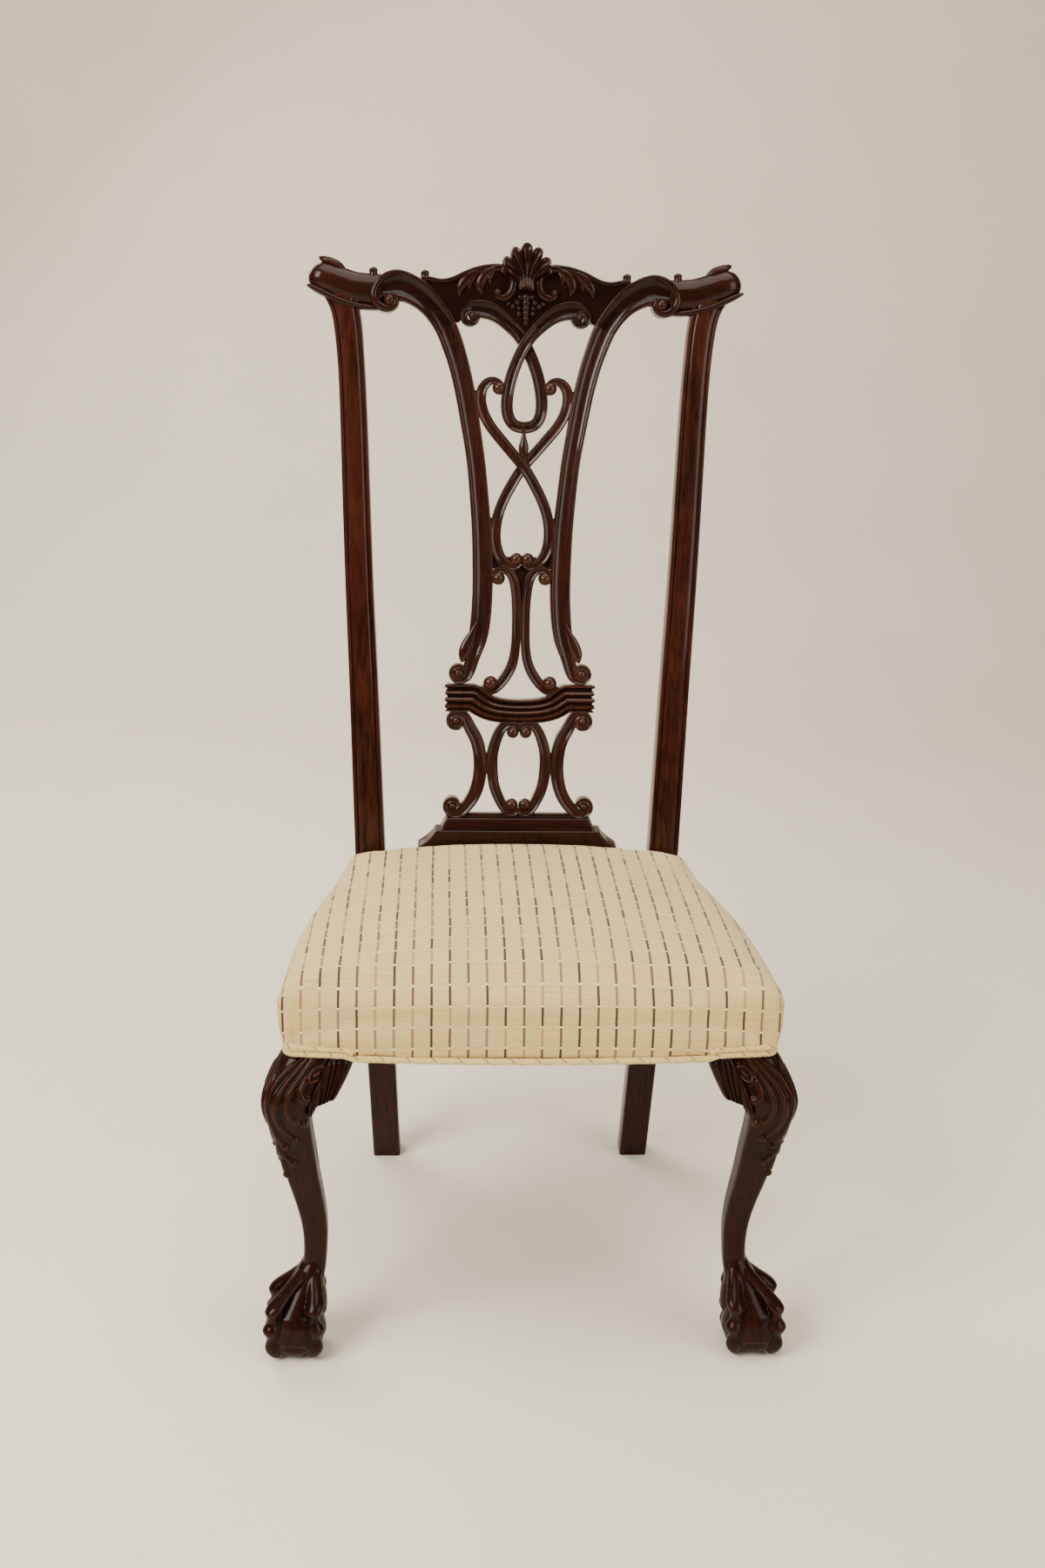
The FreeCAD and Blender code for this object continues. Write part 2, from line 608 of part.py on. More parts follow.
def make_crest():
    """Scrolled board with rolled ears, shell, knobs and volutes; drawn upright."""
    half = CREST_HALF
    seat_in = post_x(POST_TOP) - POST_TOP_WIDTH * 0.8
    seat_out = post_x(POST_TOP) + POST_TOP_WIDTH * 0.62
    span = seat_in - SPLAT_HALF

    def at(x, rise):
        return V(x, CREST_SETBACK, CREST_JOINT + rise)

    def shares(points):
        return [at(half * x / 100, CREST_HEIGHT * rise / 100) for x, rise in points]

    flat = [at(0, 0), at(SPLAT_HALF * 0.24, 0), at(SPLAT_HALF * 0.52, 0), at(SPLAT_HALF, 0)]
    arch = Part.Arc(flat[1], at(SPLAT_HALF * 0.38, VOLUTE_RADIUS * 0.9), flat[2]).toShape()
    shoulder = [at(SPLAT_HALF + span * t, CREST_POST_RISE * r)
                for t, r in ((0, 0), (0.12, 0.5), (0.29, 0.9), (0.47, 1.14), (0.62, 1.2))]
    scroll = Part.Arc(shoulder[-1], at(SPLAT_HALF + span * 0.77, CREST_POST_RISE * 0.86),
                      at(seat_in - span * 0.07, CREST_POST_RISE)).toShape()
    ear_tip = at(half, CREST_HEIGHT * 0.47)
    seat_end = at(seat_out, CREST_POST_RISE)
    ear_under = Part.makeLine(seat_end, ear_tip)
    ear_top = shares([(91.1, 77)])[0]
    ear_end = Part.Arc(ear_tip, shares([(97.5, 66)])[0], ear_top).toShape()
    top = arc_run([ear_top] + shares([
        (84.5, 68), (77.5, 62), (72, 61), (67, 63.5), (61, 65.5), (54.5, 62.5), (46.5, 56.5), (39.5, 54),
        (34, 56.5), (28.5, 62.5), (22, 67.5), (15, 70), (7, 71), (0, 71)]))
    right = [Part.makeLine(flat[0], flat[1]), arch, Part.makeLine(flat[2], flat[3])]
    right += arc_run(shoulder)
    right += [scroll, Part.makeLine(scroll.Vertexes[-1].Point, seat_end), ear_under, ear_end] + top
    outline = Part.Wire(Part.sortEdges(right + [mirrored(edge) for edge in right])[0])
    crest = Part.Face(outline).extrude(V(0, CREST_THICKNESS, 0))
    middle = CREST_SETBACK + CREST_THICKNESS / 2
    front = CREST_SETBACK - RELIEF
    extras = []
    for side in (-1, 1):
        root = V(side * half * 0.74, middle, CREST_JOINT + CREST_HEIGHT * 0.445)
        tip = V(side * half * 0.975, middle, CREST_JOINT + CREST_HEIGHT * 0.60)
        extras.append(tube([(root, EAR_RADIUS * 0.8), (tip, EAR_RADIUS)], EYE_SIDES, V(0, 1, 0)))
        for x, rise in ((46.5, 60), (70.5, 64)):
            knob = V(side * half * x / 100, CREST_SETBACK, CREST_JOINT + CREST_HEIGHT * rise / 100)
            extras.append(rod(CREST_KNOB, CREST_THICKNESS * 0.6, knob, V(0, 1, 0)))
        for x, rise in ((side * (SPLAT_HALF + span * 0.76), CREST_POST_RISE * 1.3),
                        (side * SPLAT_HALF * 0.63, VOLUTE_RADIUS)):
            eye = V(x, front, CREST_JOINT + rise)
            extras.append(rod(VOLUTE_RADIUS, CREST_THICKNESS / 2, eye, V(0, 1, 0), EYE_SIDES))
    base = V(0, CREST_SETBACK + SHELL_LOBE / 2, CREST_JOINT + SHELL_BASE_RISE)
    shell_length = CREST_HEIGHT - SHELL_BASE_RISE - SHELL_LOBE
    for angle, share in ((-36, 0.80), (-18, 0.92), (0, 1.0), (18, 0.92), (36, 0.80)):
        aim = V(math.sin(math.radians(angle)), 0, math.cos(math.radians(angle)))
        length = shell_length * share
        lobe = [(base + aim * (length * along), SHELL_LOBE * thick) for along, thick in SHELL_PROFILE]
        extras.append(tube(lobe, ROD_SIDES, V(0, 1, 0)))
    crest = crest.fuse(extras)
    mortise = post_tenon(FIT)
    crest = crest.cut([mortise, mirrored(mortise)] + splat_tenons(FIT))
    return crest.removeSplitter()


# Shoe
def make_shoe_blank():
    """Plinth with a coved front and ends that narrow to the foot of the splat."""
    cove = SHOE_HEIGHT - SHOE_PLINTH
    levels = [(0.0, 0.0), (SHOE_PLINTH, 0.0), (SHOE_PLINTH + cove * 0.2, 0.55),
              (SHOE_PLINTH + cove * 0.5, 0.85), (SHOE_HEIGHT, 1.0)]
    front = FRAME_DEPTH + 1
    rings = []
    for rise, share in levels:
        half = (SHOE_BASE_WIDTH + (SHOE_TOP_WIDTH - SHOE_BASE_WIDTH) * share) / 2
        y = front + SHOE_COVE * share
        z = FRAME_TOP + rise
        corners = ((-half, y), (half, y), (half, REAR_RAIL_BACK), (-half, REAR_RAIL_BACK))
        rings.append([V(corner_x, corner_y, z) for corner_x, corner_y in corners])
    return stacked(rings)


def shoe_nails(clearance):
    depth = SHOE_NAIL_LENGTH + clearance
    y = (FRAME_DEPTH + REAR_RAIL_BACK) / 2
    nails = []
    for side in (-0.5, 0.5):
        base = V(side * SHOE_NAIL_SPACING, y, FRAME_TOP + SHOE_PLINTH - depth)
        nails.append(rod(SHOE_NAIL_RADIUS + clearance, depth, base, V(0, 0, 1)))
    return nails


# Corner blocks
def front_corner_plan():
    reach = LEG_BLOCK + CORNER_REACH
    return [(BLOCK_INNER - CORNER_REACH, RAIL_THICKNESS), (BLOCK_INNER, RAIL_THICKNESS),
            (BLOCK_INNER, LEG_BLOCK), (side_inner_x(LEG_BLOCK), LEG_BLOCK), (side_inner_x(reach), reach)]


def rear_corner_plan():
    reach = REAR_RAIL_FRONT - CORNER_REACH
    corner = side_inner_x(REAR_RAIL_FRONT)
    return [(corner - CORNER_REACH, REAR_RAIL_FRONT), (corner, REAR_RAIL_FRONT),
            (side_inner_x(reach), reach)]


def block_screws(plan, toward_y, clearance):
    """Two screws through a block's slanted face: one into the cross rail, one into the side rail."""
    start = V(*plan[0], RAIL_MIDDLE)
    slant = V(*plan[-1], RAIL_MIDDLE) - start
    screws = []
    for share, aim in ((0.35, V(0, toward_y, 0)), (0.65, V(1, 0, 0))):
        entry = start + slant * share
        if aim.x:
            grip = side_inner_x(entry.y) - entry.x
        else:
            grip = abs(entry.y - start.y)
        sunk = entry + aim * (SCREW_HEAD * 1.5)
        length = grip + SCREW_BITE - SCREW_HEAD * 1.5
        shank = rod(SCREW_RADIUS + clearance, length + clearance, sunk, aim)
        back = SCREW_HEAD * 4 if clearance else 0.0
        head = rod(SCREW_HEAD_RADIUS + clearance, SCREW_HEAD + back, sunk - aim * back, aim)
        screws.append(shank.fuse(head).removeSplitter())
    return screws


# Upholstery
def seat_outline(stand_out, z, corner, rear):
    """Points round the plan of the seat, from the right rear corner by the front to the left rear one."""
    shift = stand_out * math.hypot(1, SIDE_SLOPE)
    front = -stand_out
    front_corner = V(side_outer_x(front) + shift, front, z)
    rear_corner = V(side_outer_x(rear) + shift, rear, z)
    run = (rear_corner - front_corner).normalize()
    right = rounded_corner(rear_corner, V(-1, 0, 0), run * -1, corner / 2)
    right += rounded_corner(front_corner, run, V(-1, 0, 0), corner)
    half = right[-1].x
    bow = (FRONT_RAIL_BOW + SOFT_GAP) * half / (HALF_FRONT - SEAT_CORNER)
    for k in range(1, BOW_STEPS):
        share = k / BOW_STEPS
        right.append(V(half * (1 - share), front - bow * (1 - (1 - share) ** 2), z))
    left = [V(-point.x, point.y, z) for point in reversed(right)]
    return right + [V(0, front - bow, z)] + left


def seat_form(inset, bottom):
    """Upholstered seat: sides drawn in at the hem, full at the edge, crowned on top."""
    edge = FRAME_TOP + SEAT_EDGE_HEIGHT
    swell = SEAT_STAND_OUT + SEAT_SWELL
    stations = [
        (bottom, SEAT_STAND_OUT), ((bottom + FRAME_TOP) / 2, SEAT_STAND_OUT + SEAT_SWELL * 0.7),
        (FRAME_TOP, swell), (edge - SEAT_CROWN * 0.2 - inset, swell - 1.5), (edge - inset, swell - 5),
        (edge + SEAT_CROWN * 0.22 - inset, swell - 12), (edge + SEAT_CROWN * 0.42 - inset, swell - 25),
        (edge + SEAT_CROWN * 0.62 - inset, swell - 48), (edge + SEAT_CROWN * 0.80 - inset, swell - 82),
        (edge + SEAT_CROWN * 0.93 - inset, swell - 122), (edge + SEAT_CROWN - inset, swell - 165),
    ]
    rings = []
    for z, stand_out in stations:
        drawn_in = max(0.0, SEAT_STAND_OUT - stand_out)
        corner = SEAT_CORNER + drawn_in * 0.18
        rear = SEAT_REAR - inset - drawn_in
        rings.append(seat_outline(stand_out - inset, z, corner, rear))
    return stacked(rings)


def frame_envelope():
    """Space taken by the seat frame, webbing and base cloth, which the stuffing sits round."""
    outline = seat_outline(SOFT_GAP, FRAME_BOTTOM, SOFT_GAP, FRAME_DEPTH + LEG_BLOCK)
    return Part.Face(closed_ring(outline)).extrude(V(0, 0, PAD_BOTTOM - FRAME_BOTTOM))


def hem_notch():
    """Above the front legs the hem is a welt's width higher."""
    top = COVER_BOTTOM + 2 * WELT_RADIUS
    low = V(HALF_FRONT - WELT_CORNER_REACH, -LEG_BLOCK, FRAME_BOTTOM)
    return box_between(low, V(HALF_FRONT + LEG_BLOCK, WELT_CORNER_REACH, top))


def welt_tube(points):
    """Round cord along points at one height."""
    return tube([(point, WELT_RADIUS) for point in points], WELT_SIDES, V(0, 0, 1))


def make_welts():
    """Cord round the hem from post to post, and a second one over each front leg."""
    stand_out = WELT_RADIUS + SOFT_GAP
    level = COVER_BOTTOM - WELT_RADIUS - SOFT_GAP
    corner = SEAT_CORNER * 0.8
    rear_steps = CORNER_STEPS
    around = seat_outline(stand_out, level, corner, FRAME_DEPTH - 2 * SOFT_GAP)[rear_steps:-rear_steps]
    upper = level + 2 * WELT_RADIUS + SOFT_GAP
    turn = seat_outline(stand_out, upper, corner, FRAME_DEPTH)[rear_steps + 1:2 * rear_steps + 2]
    tail = WELT_CORNER_REACH - corner - SOFT_GAP
    side_end = turn[0] + V(-SIDE_SLOPE, 1, 0).normalize() * tail
    fall = FRONT_RAIL_BOW * (1 - ((turn[-1].x - tail) / turn[-1].x) ** 2)
    double = welt_tube([side_end] + turn + [turn[-1] - V(tail, fall, 0)])
    return Part.makeCompound([welt_tube(around), double, mirrored(double)])


def tack(point, up, clearance):
    """Cut tack: flat head and a tapered square shank; up is +1 or -1."""
    half = TACK_SHANK / 2 + clearance
    tip = point - V(0, 0, up * (TACK_LENGTH + clearance))
    rings = []
    for centre, reach in ((point, half), (tip, half * 0.3)):
        rings.append([centre + V(x, y, 0) * reach for x, y in ((-1, -1), (1, -1), (1, 1), (-1, 1))])
    head = closed_ring(round_points(point, TACK_HEAD_RADIUS, TACK_SIDES))
    cap = Part.Face(head).extrude(V(0, 0, up * TACK_HEAD))
    return cap.fuse(stacked(rings)).removeSplitter()


def web_places(pitch):
    return [(k - (WEB_COUNT - 1) / 2) * pitch for k in range(WEB_COUNT)]


def make_upholstery():
    lengthwise = []
    crosswise = []
    tack_points = []
    front_y = FIT
    rear_y = FRAME_DEPTH - FIT
    for x in web_places(WEB_PITCH_ACROSS):
        lengthwise.append(box_between(V(x - WEB_WIDTH / 2, front_y, FRAME_TOP),
                                      V(x + WEB_WIDTH / 2, rear_y, FRAME_TOP + WEB_THICKNESS)))
        for dx in (-WEB_WIDTH / 3, WEB_WIDTH / 3):
            tack_points.append(V(x + dx, RAIL_THICKNESS / 2, FRAME_TOP + WEB_THICKNESS))
            ledge_y = REAR_RAIL_FRONT + REAR_RAIL_LEDGE / 2
            tack_points.append(V(x + dx, ledge_y, FRAME_TOP + WEB_THICKNESS))
    low = FRAME_TOP + WEB_THICKNESS + FIT
    for dy in web_places(WEB_PITCH_ALONG):
        y = FRAME_DEPTH / 2 + dy
        front = y - WEB_WIDTH / 2
        back = y + WEB_WIDTH / 2
        near = side_outer_x(front) - WEB_MARGIN
        far = side_outer_x(back) - WEB_MARGIN
        plan = [(-near, front), (near, front), (far, back), (-far, back)]
        crosswise.append(prism(plan, low, low + WEB_THICKNESS))
        for step in (-WEB_WIDTH / 3, WEB_WIDTH / 3):
            x = side_outer_x(y + step) - SIDE_THICKNESS_X / 2
            tack_points.append(V(x, y + step, WEB_TOP))
            tack_points.append(V(-x, y + step, WEB_TOP))
    margin = RAIL_THICKNESS / 4
    rear = FRAME_DEPTH - REAR_RAIL_LEDGE / 4
    sheet_plan = [(-side_outer_x(margin) + margin, margin), (side_outer_x(margin) - margin, margin),
                  (side_outer_x(rear) - margin, rear), (-side_outer_x(rear) + margin, rear)]
    pieces["hessian_sheet"] = prism(sheet_plan, SHEET_BOTTOM, SHEET_BOTTOM + SHEET_THICKNESS)
    tacks = [tack(point, 1, 0.0) for point in tack_points]
    holes = Part.makeCompound([tack(point, 1, FIT) for point in tack_points])
    pieces["webbing_lengthwise"] = Part.makeCompound(lengthwise).cut(holes)
    pieces["webbing_crosswise"] = Part.makeCompound(crosswise).cut(holes)
    pieces["webbing_tacks"] = Part.makeCompound(tacks)
    envelope = frame_envelope()
    notches = [hem_notch(), mirrored(hem_notch())]
    cover = seat_form(0.0, COVER_BOTTOM).cut(seat_form(COVER_THICKNESS, COVER_BOTTOM - SOFT_GAP))
    pieces["seat_cover"] = cover.cut([envelope] + notches)
    pieces["seat_pad"] = seat_form(COVER_THICKNESS + SOFT_GAP, COVER_BOTTOM).cut([envelope] + notches)
    pieces["seat_welt"] = make_welts()
    return holes


def dust_cover_plan():
    """Inside the hem of the frame, cut out round the knee brackets and the posts."""
    margin = RAIL_THICKNESS / 3
    clear = KNEE_SEAT + BRACKET_LENGTH + margin
    wing = BRACKET_BACK + margin
    post_clear = POST_SEAT_X - POST_WIDTH / 2 - margin
    rear = FRAME_DEPTH - margin
    right = [(HALF_FRONT - clear, margin), (HALF_FRONT - clear, wing), (HALF_FRONT - wing, clear),
             (side_outer_x(clear) - margin, clear), (side_outer_x(rear) - margin, rear),
             (post_clear, rear), (post_clear, REAR_RAIL_BACK - margin)]
    return right + [(-x, y) for x, y in reversed(right)]


def make_dust_cover():
    plan = dust_cover_plan()
    top = FRAME_BOTTOM - FIT
    sheet = prism(plan, top - SHEET_THICKNESS, top)
    points = []
    inset = RAIL_THICKNESS / 6
    for share in (0.1, 0.37, 0.63, 0.9):
        front_x = plan[0][0] * (2 * share - 1)
        points.append(V(front_x, plan[0][1] + inset, top - SHEET_THICKNESS))
        points.append(V(front_x * 0.8, plan[6][1] - inset, top - SHEET_THICKNESS))
        y = plan[3][1] + (plan[4][1] - plan[3][1]) * share
        x = side_outer_x(y) - SIDE_THICKNESS_X / 2
        points.append(V(x, y, top - SHEET_THICKNESS))
        points.append(V(-x, y, top - SHEET_THICKNESS))
    holes = Part.makeCompound([tack(point, -1, FIT) for point in points])
    pieces["dust_cover"] = sheet.cut(holes)
    pieces["dust_cover_tacks"] = Part.makeCompound([tack(point, -1, 0.0) for point in points])
    return holes


def build():
    web_holes = make_upholstery()
    dust_holes = make_dust_cover()
    post = make_post()
    posts = Part.makeCompound([post, mirrored(post)])

    rear_screws = block_screws(rear_corner_plan(), 1, 0.0)
    front_screws = block_screws(front_corner_plan(), -1, 0.0)
    screws = front_screws + rear_screws
    pieces["corner_block_screws"] = Part.makeCompound(screws + [mirrored(screw) for screw in screws])
    right_holes = block_screws(front_corner_plan(), -1, FIT) + block_screws(rear_corner_plan(), 1, FIT)
    screw_holes = Part.makeCompound(right_holes + [mirrored(hole) for hole in right_holes])
    low = RAIL_MIDDLE - CORNER_HEIGHT / 2
    high = RAIL_MIDDLE + CORNER_HEIGHT / 2
    add_pair("corner_block_front", prism(front_corner_plan(), low, high).cut(screw_holes))
    add_pair("corner_block_rear", prism(rear_corner_plan(), low, high).cut(screw_holes))

    holes = [web_holes, dust_holes, screw_holes]
    nail_holes = shoe_nails(FIT)
    pieces["front_seat_rail"] = make_front_rail().cut(holes)
    add_pair("side_seat_rail", make_side_rail().cut(holes))
    pieces["rear_seat_rail"] = make_rear_rail(posts).cut(holes + nail_holes)

    tongue = on_back(post_tenon(0.0))
    mortises = [side_rear_tenon(FIT), rear_rail_tenon(FIT)]
    add_pair("rear_post", post.fuse(tongue).cut(mortises).removeSplitter())

    shoe_blank = make_shoe_blank()
    pieces["back_splat"] = make_splat(shoe_blank.cut([on_back(tenon) for tenon in splat_tenons(0.0)]))
    pieces["splat_shoe"] = shoe_blank.cut([on_back(tenon) for tenon in splat_tenons(FIT)] + nail_holes)
    pieces["shoe_nails"] = Part.makeCompound(shoe_nails(0.0))
    pieces["crest_rail"] = on_back(make_crest())

    add_pair("front_leg", make_front_leg())
    bracket = make_front_bracket()
    add_pair("knee_bracket_front", bracket)
    add_pair("knee_bracket_side", bracket.mirror(V(HALF_FRONT, 0, 0), V(1, 1, 0)))


def save():
    """Shift everything so that the origin is under the middle of the chair, and write the pieces."""
    box = Part.makeCompound(list(pieces.values())).optimalBoundingBox()
    centre = V(0, (box.YMin + box.YMax) / 2, 0)
    os.makedirs("parts", exist_ok=True)
    for name, shape in pieces.items():
        shape.translate(centre * -1)
        shape.exportStep("parts/" + name + ".step")
        print(name, len(shape.Solids), shape.isValid(), round(shape.Volume))


build()
save()
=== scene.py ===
"""Looks of a carved mahogany side chair with an upholstered seat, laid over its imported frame.

Shapes are given in millimetres: x, y behind the seat frame's front corners, and height above
the floor. They become metres in the shared frame when a mesh is made. The carving of the back
is drawn on the raked face of the back, as x, height and depth behind that face, for the right
half as seen from the front, and mirrored.
"""
import math

import bmesh
import bpy
import numpy as np
from mathutils import Matrix, Vector


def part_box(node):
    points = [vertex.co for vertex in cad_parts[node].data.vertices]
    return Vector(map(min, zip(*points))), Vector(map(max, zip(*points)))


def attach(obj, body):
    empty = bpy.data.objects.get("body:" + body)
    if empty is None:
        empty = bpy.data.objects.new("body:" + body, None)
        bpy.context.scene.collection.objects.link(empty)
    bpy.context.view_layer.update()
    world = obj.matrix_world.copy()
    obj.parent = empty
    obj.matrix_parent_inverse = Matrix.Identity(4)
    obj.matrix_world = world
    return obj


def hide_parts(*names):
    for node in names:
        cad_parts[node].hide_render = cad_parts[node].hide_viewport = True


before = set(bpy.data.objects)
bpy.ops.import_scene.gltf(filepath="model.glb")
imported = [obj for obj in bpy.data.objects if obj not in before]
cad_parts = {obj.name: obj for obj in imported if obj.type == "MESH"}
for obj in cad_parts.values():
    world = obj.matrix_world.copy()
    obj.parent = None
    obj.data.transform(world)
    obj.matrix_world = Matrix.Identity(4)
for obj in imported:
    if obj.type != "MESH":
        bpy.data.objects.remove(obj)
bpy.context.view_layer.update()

bl_info = {
    "name": "Carved side chair",
    "version": (1, 0, 0),
    "blender": (4, 5, 0),
    "location": "3D View > Sidebar > Chair",
    "description": "Builds the carving, the upholstery and the finish of a carved side chair",
    "category": "Object",
}

MM = 0.001
MIRROR = np.array([-1, 1, 1])

# The frame's sizes, as the solids have them
RAIL_BOW = 12.0
HALF_FRONT = 253.0
HALF_REAR = 203.5
FRAME_DEPTH = 402.0
FRAME_BOTTOM = 356.0
FRAME_TOP = 425.0
SIDE_SLOPE = (HALF_FRONT - HALF_REAR) / FRAME_DEPTH
SEAT_LINE = 442.0
RAKE = math.radians(6.84)
CREST_JOINT = SEAT_LINE + 634.0 * math.cos(RAKE)
SPLAT_FACE = 5.0
SPLAT_BACK = 21.0
CREST_FACE = 1.0
CREST_BACK = 25.0
FRAME_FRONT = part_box("front_seat_rail")[0].y / MM + RAIL_BOW


class ChairSizes(bpy.types.PropertyGroup):
    """Sizes of the carving and the upholstery."""

    cove_depth: bpy.props.FloatProperty(
        name="Cove depth", description="Depth of the hollow in a strap, as a share of its width",
        default=0.15, min=0.02, max=0.3)
    leaf_relief: bpy.props.FloatProperty(
        name="Leaf relief", description="Height of the ridges of the carved knee leaves",
        default=0.0032, unit="LENGTH")
    leg_voxel: bpy.props.FloatProperty(
        name="Leg grain size", description="Finest form kept when the foot's forms are joined",
        default=0.0012, unit="LENGTH")
    seat_voxel: bpy.props.FloatProperty(
        name="Seat mesh size", description="Mesh size of the seat before the cloth is tightened",
        default=0.005, unit="LENGTH")
    seat_swell: bpy.props.FloatProperty(
        name="Seat swell", description="Most that the stuffing may push the cloth out",
        default=0.005, unit="LENGTH")
    seat_pressure: bpy.props.FloatProperty(
        name="Stuffing pressure", description="Pressure of the stuffing under the cloth",
        default=4.0)
    welt_radius: bpy.props.FloatProperty(
        name="Welt radius", description="Radius of the covered cord along the hem",
        default=0.0036, unit="LENGTH")
    dust_cover_sag: bpy.props.FloatProperty(
        name="Dust cover sag", description="How far the cloth under the frame hangs in its middle",
        default=0.004, unit="LENGTH")


class ChairFinish(bpy.types.PropertyGroup):
    """Colours of wood, cloth and metal."""

    # Deep wood is also the colour of the painted shade in the hollows and below the seat.
    wood_deep: bpy.props.FloatVectorProperty(
        name="Deep wood", description="Polish gathered in the grain and the hollows",
        subtype="COLOR", default=(0.0060, 0.0022, 0.0014), min=0, max=1)
    wood_body: bpy.props.FloatVectorProperty(
        name="Mahogany", description="The wood's main colour",
        subtype="COLOR", default=(0.046, 0.0105, 0.0048), min=0, max=1)
    wood_worn: bpy.props.FloatVectorProperty(
        name="Worn edge", description="Wood where handling has thinned the polish",
        subtype="COLOR", default=(0.21, 0.060, 0.020), min=0, max=1)
    cloth_ground: bpy.props.FloatVectorProperty(
        name="Cloth ground", description="Straw-coloured ground of the seat cloth",
        subtype="COLOR", default=(0.69, 0.495, 0.182), min=0, max=1)
    cloth_slub: bpy.props.FloatVectorProperty(
        name="Cloth slub", description="Darker slubs across the cloth",
        subtype="COLOR", default=(0.565, 0.378, 0.12), min=0, max=1)
    cloth_pick: bpy.props.FloatVectorProperty(
        name="Cloth pick", description="Pale thread between the dashes of a stripe",
        subtype="COLOR", default=(0.86, 0.71, 0.36), min=0, max=1)
    rail_wood: bpy.props.FloatVectorProperty(
        name="Rail wood", description="Unpolished wood of the seat frame",
        subtype="COLOR", default=(0.30, 0.17, 0.085), min=0, max=1)
    steel: bpy.props.FloatVectorProperty(
        name="Steel", description="Dark steel of the tacks, nails and screws",
        subtype="COLOR", default=(0.10, 0.10, 0.11), min=0, max=1)
    floor_colour: bpy.props.FloatVectorProperty(
        name="Floor", description="Colour of the studio floor",
        subtype="COLOR", default=(0.88, 0.80, 0.655), min=0, max=1)


class ChairStage(bpy.types.PropertyGroup):
    """Camera and light."""

    lens: bpy.props.FloatProperty(
        name="Lens", description="Focal length for a 36 mm frame on the long side",
        default=40.0, subtype="DISTANCE_CAMERA")
    azimuth: bpy.props.FloatProperty(
        name="Azimuth", description="Turn of the camera round the chair",
        default=math.radians(-2.92), subtype="ANGLE")
    elevation: bpy.props.FloatProperty(
        name="Elevation", description="Tilt of the camera below the horizon",
        default=math.radians(17.5), subtype="ANGLE")
    roll: bpy.props.FloatProperty(
        name="Roll", description="Lean of the camera",
        default=math.radians(1.29), subtype="ANGLE")
    key_power: bpy.props.FloatProperty(
        name="Key light", description="Power of the large light on the left",
        default=165.0, subtype="POWER")
    fill_power: bpy.props.FloatProperty(
        name="Fill light", description="Power of the light on the right",
        default=68.0, subtype="POWER")
    top_power: bpy.props.FloatProperty(
        name="Top light", description="Power of the light overhead",
        default=90.0, subtype="POWER")


# Mesh making
def placed(x, y, z):
    """Layout points in millimetres as an array of rows."""
    return np.stack(np.broadcast_arrays(np.asarray(x, float), y, z), axis=-1)


def on_back(x, depth, height):
    """Points drawn on the raked back, as layout points."""
    y = FRAME_DEPTH + (height - SEAT_LINE) * math.tan(RAKE) + depth * math.cos(RAKE)
    return placed(x, y, height - depth * math.sin(RAKE))


def ramp(value, start, span):
    """0 up to start, then rising to 1 over span."""
    return np.clip((value - start) / span, 0, 1)


def hump(offset, reach, height=1.0):
    """A rounded rise round offset 0, kept between 0 and 1."""
    return np.clip(height - (offset / reach) ** 2, 0, 1)


def read_off(table, at):
    """Values between the rows of a table with two columns."""
    return np.interp(at, *np.array(table).T)


def full_turn(count):
    """Angles evenly round a circle."""
    return np.linspace(0, 2 * math.pi, count, endpoint=False)


def directions(points):
    """Unit vectors along a line of points."""
    along = np.gradient(points, axis=0)
    return along / np.linalg.norm(along, axis=1)[:, None]


def path_length(line):
    """Length along a line, from its start to each of its points."""
    return np.concatenate([[0], np.cumsum(np.linalg.norm(np.diff(line, axis=0), axis=1))])


def evenly_spread(line, count):
    """Even steps along a closed line in plan, and the points there."""
    length = path_length(line)
    at = np.linspace(0, length[-1], count, endpoint=False)
    return at, np.stack([np.interp(at, length, line[:, k]) for k in (0, 1)], axis=1)


def quads(count, around):
    """Faces between rings of equal count."""
    faces = []
    for low in range(0, (count - 1) * around, around):
        for k in range(around):
            after = (k + 1) % around
            faces.append((low + k, low + after, low + around + after, low + around + k))
    return faces


def spline(rows, count):
    """Rows on a natural cubic spline through the given rows; the first two columns set its pace."""
    rows = np.array(rows, float)
    steps = np.sqrt(np.linalg.norm(np.diff(rows[:, :2], axis=0), axis=1))
    knots = np.concatenate([[0.0], np.cumsum(steps)])
    size = len(rows)
    system = np.eye(size)
    change = np.zeros_like(rows)
    for k in range(1, size - 1):
        system[k, k - 1:k + 2] = steps[k - 1], 2 * (steps[k - 1] + steps[k]), steps[k]
        after = (rows[k + 1] - rows[k]) / steps[k]
        before = (rows[k] - rows[k - 1]) / steps[k - 1]
        change[k] = 6 * (after - before)
    bend = np.linalg.solve(system, change)
    at = np.linspace(0, knots[-1], count)
    low = np.clip(np.searchsorted(knots, at, side="right") - 1, 0, size - 2)
    step = steps[low][:, None]
    share = (at - knots[low])[:, None] / step
    left = 1 - share
    curve = left * rows[low] + share * rows[low + 1]
    sag = (left ** 3 - left) * bend[low] + (share ** 3 - share) * bend[low + 1]
    return curve + sag * step ** 2 / 6


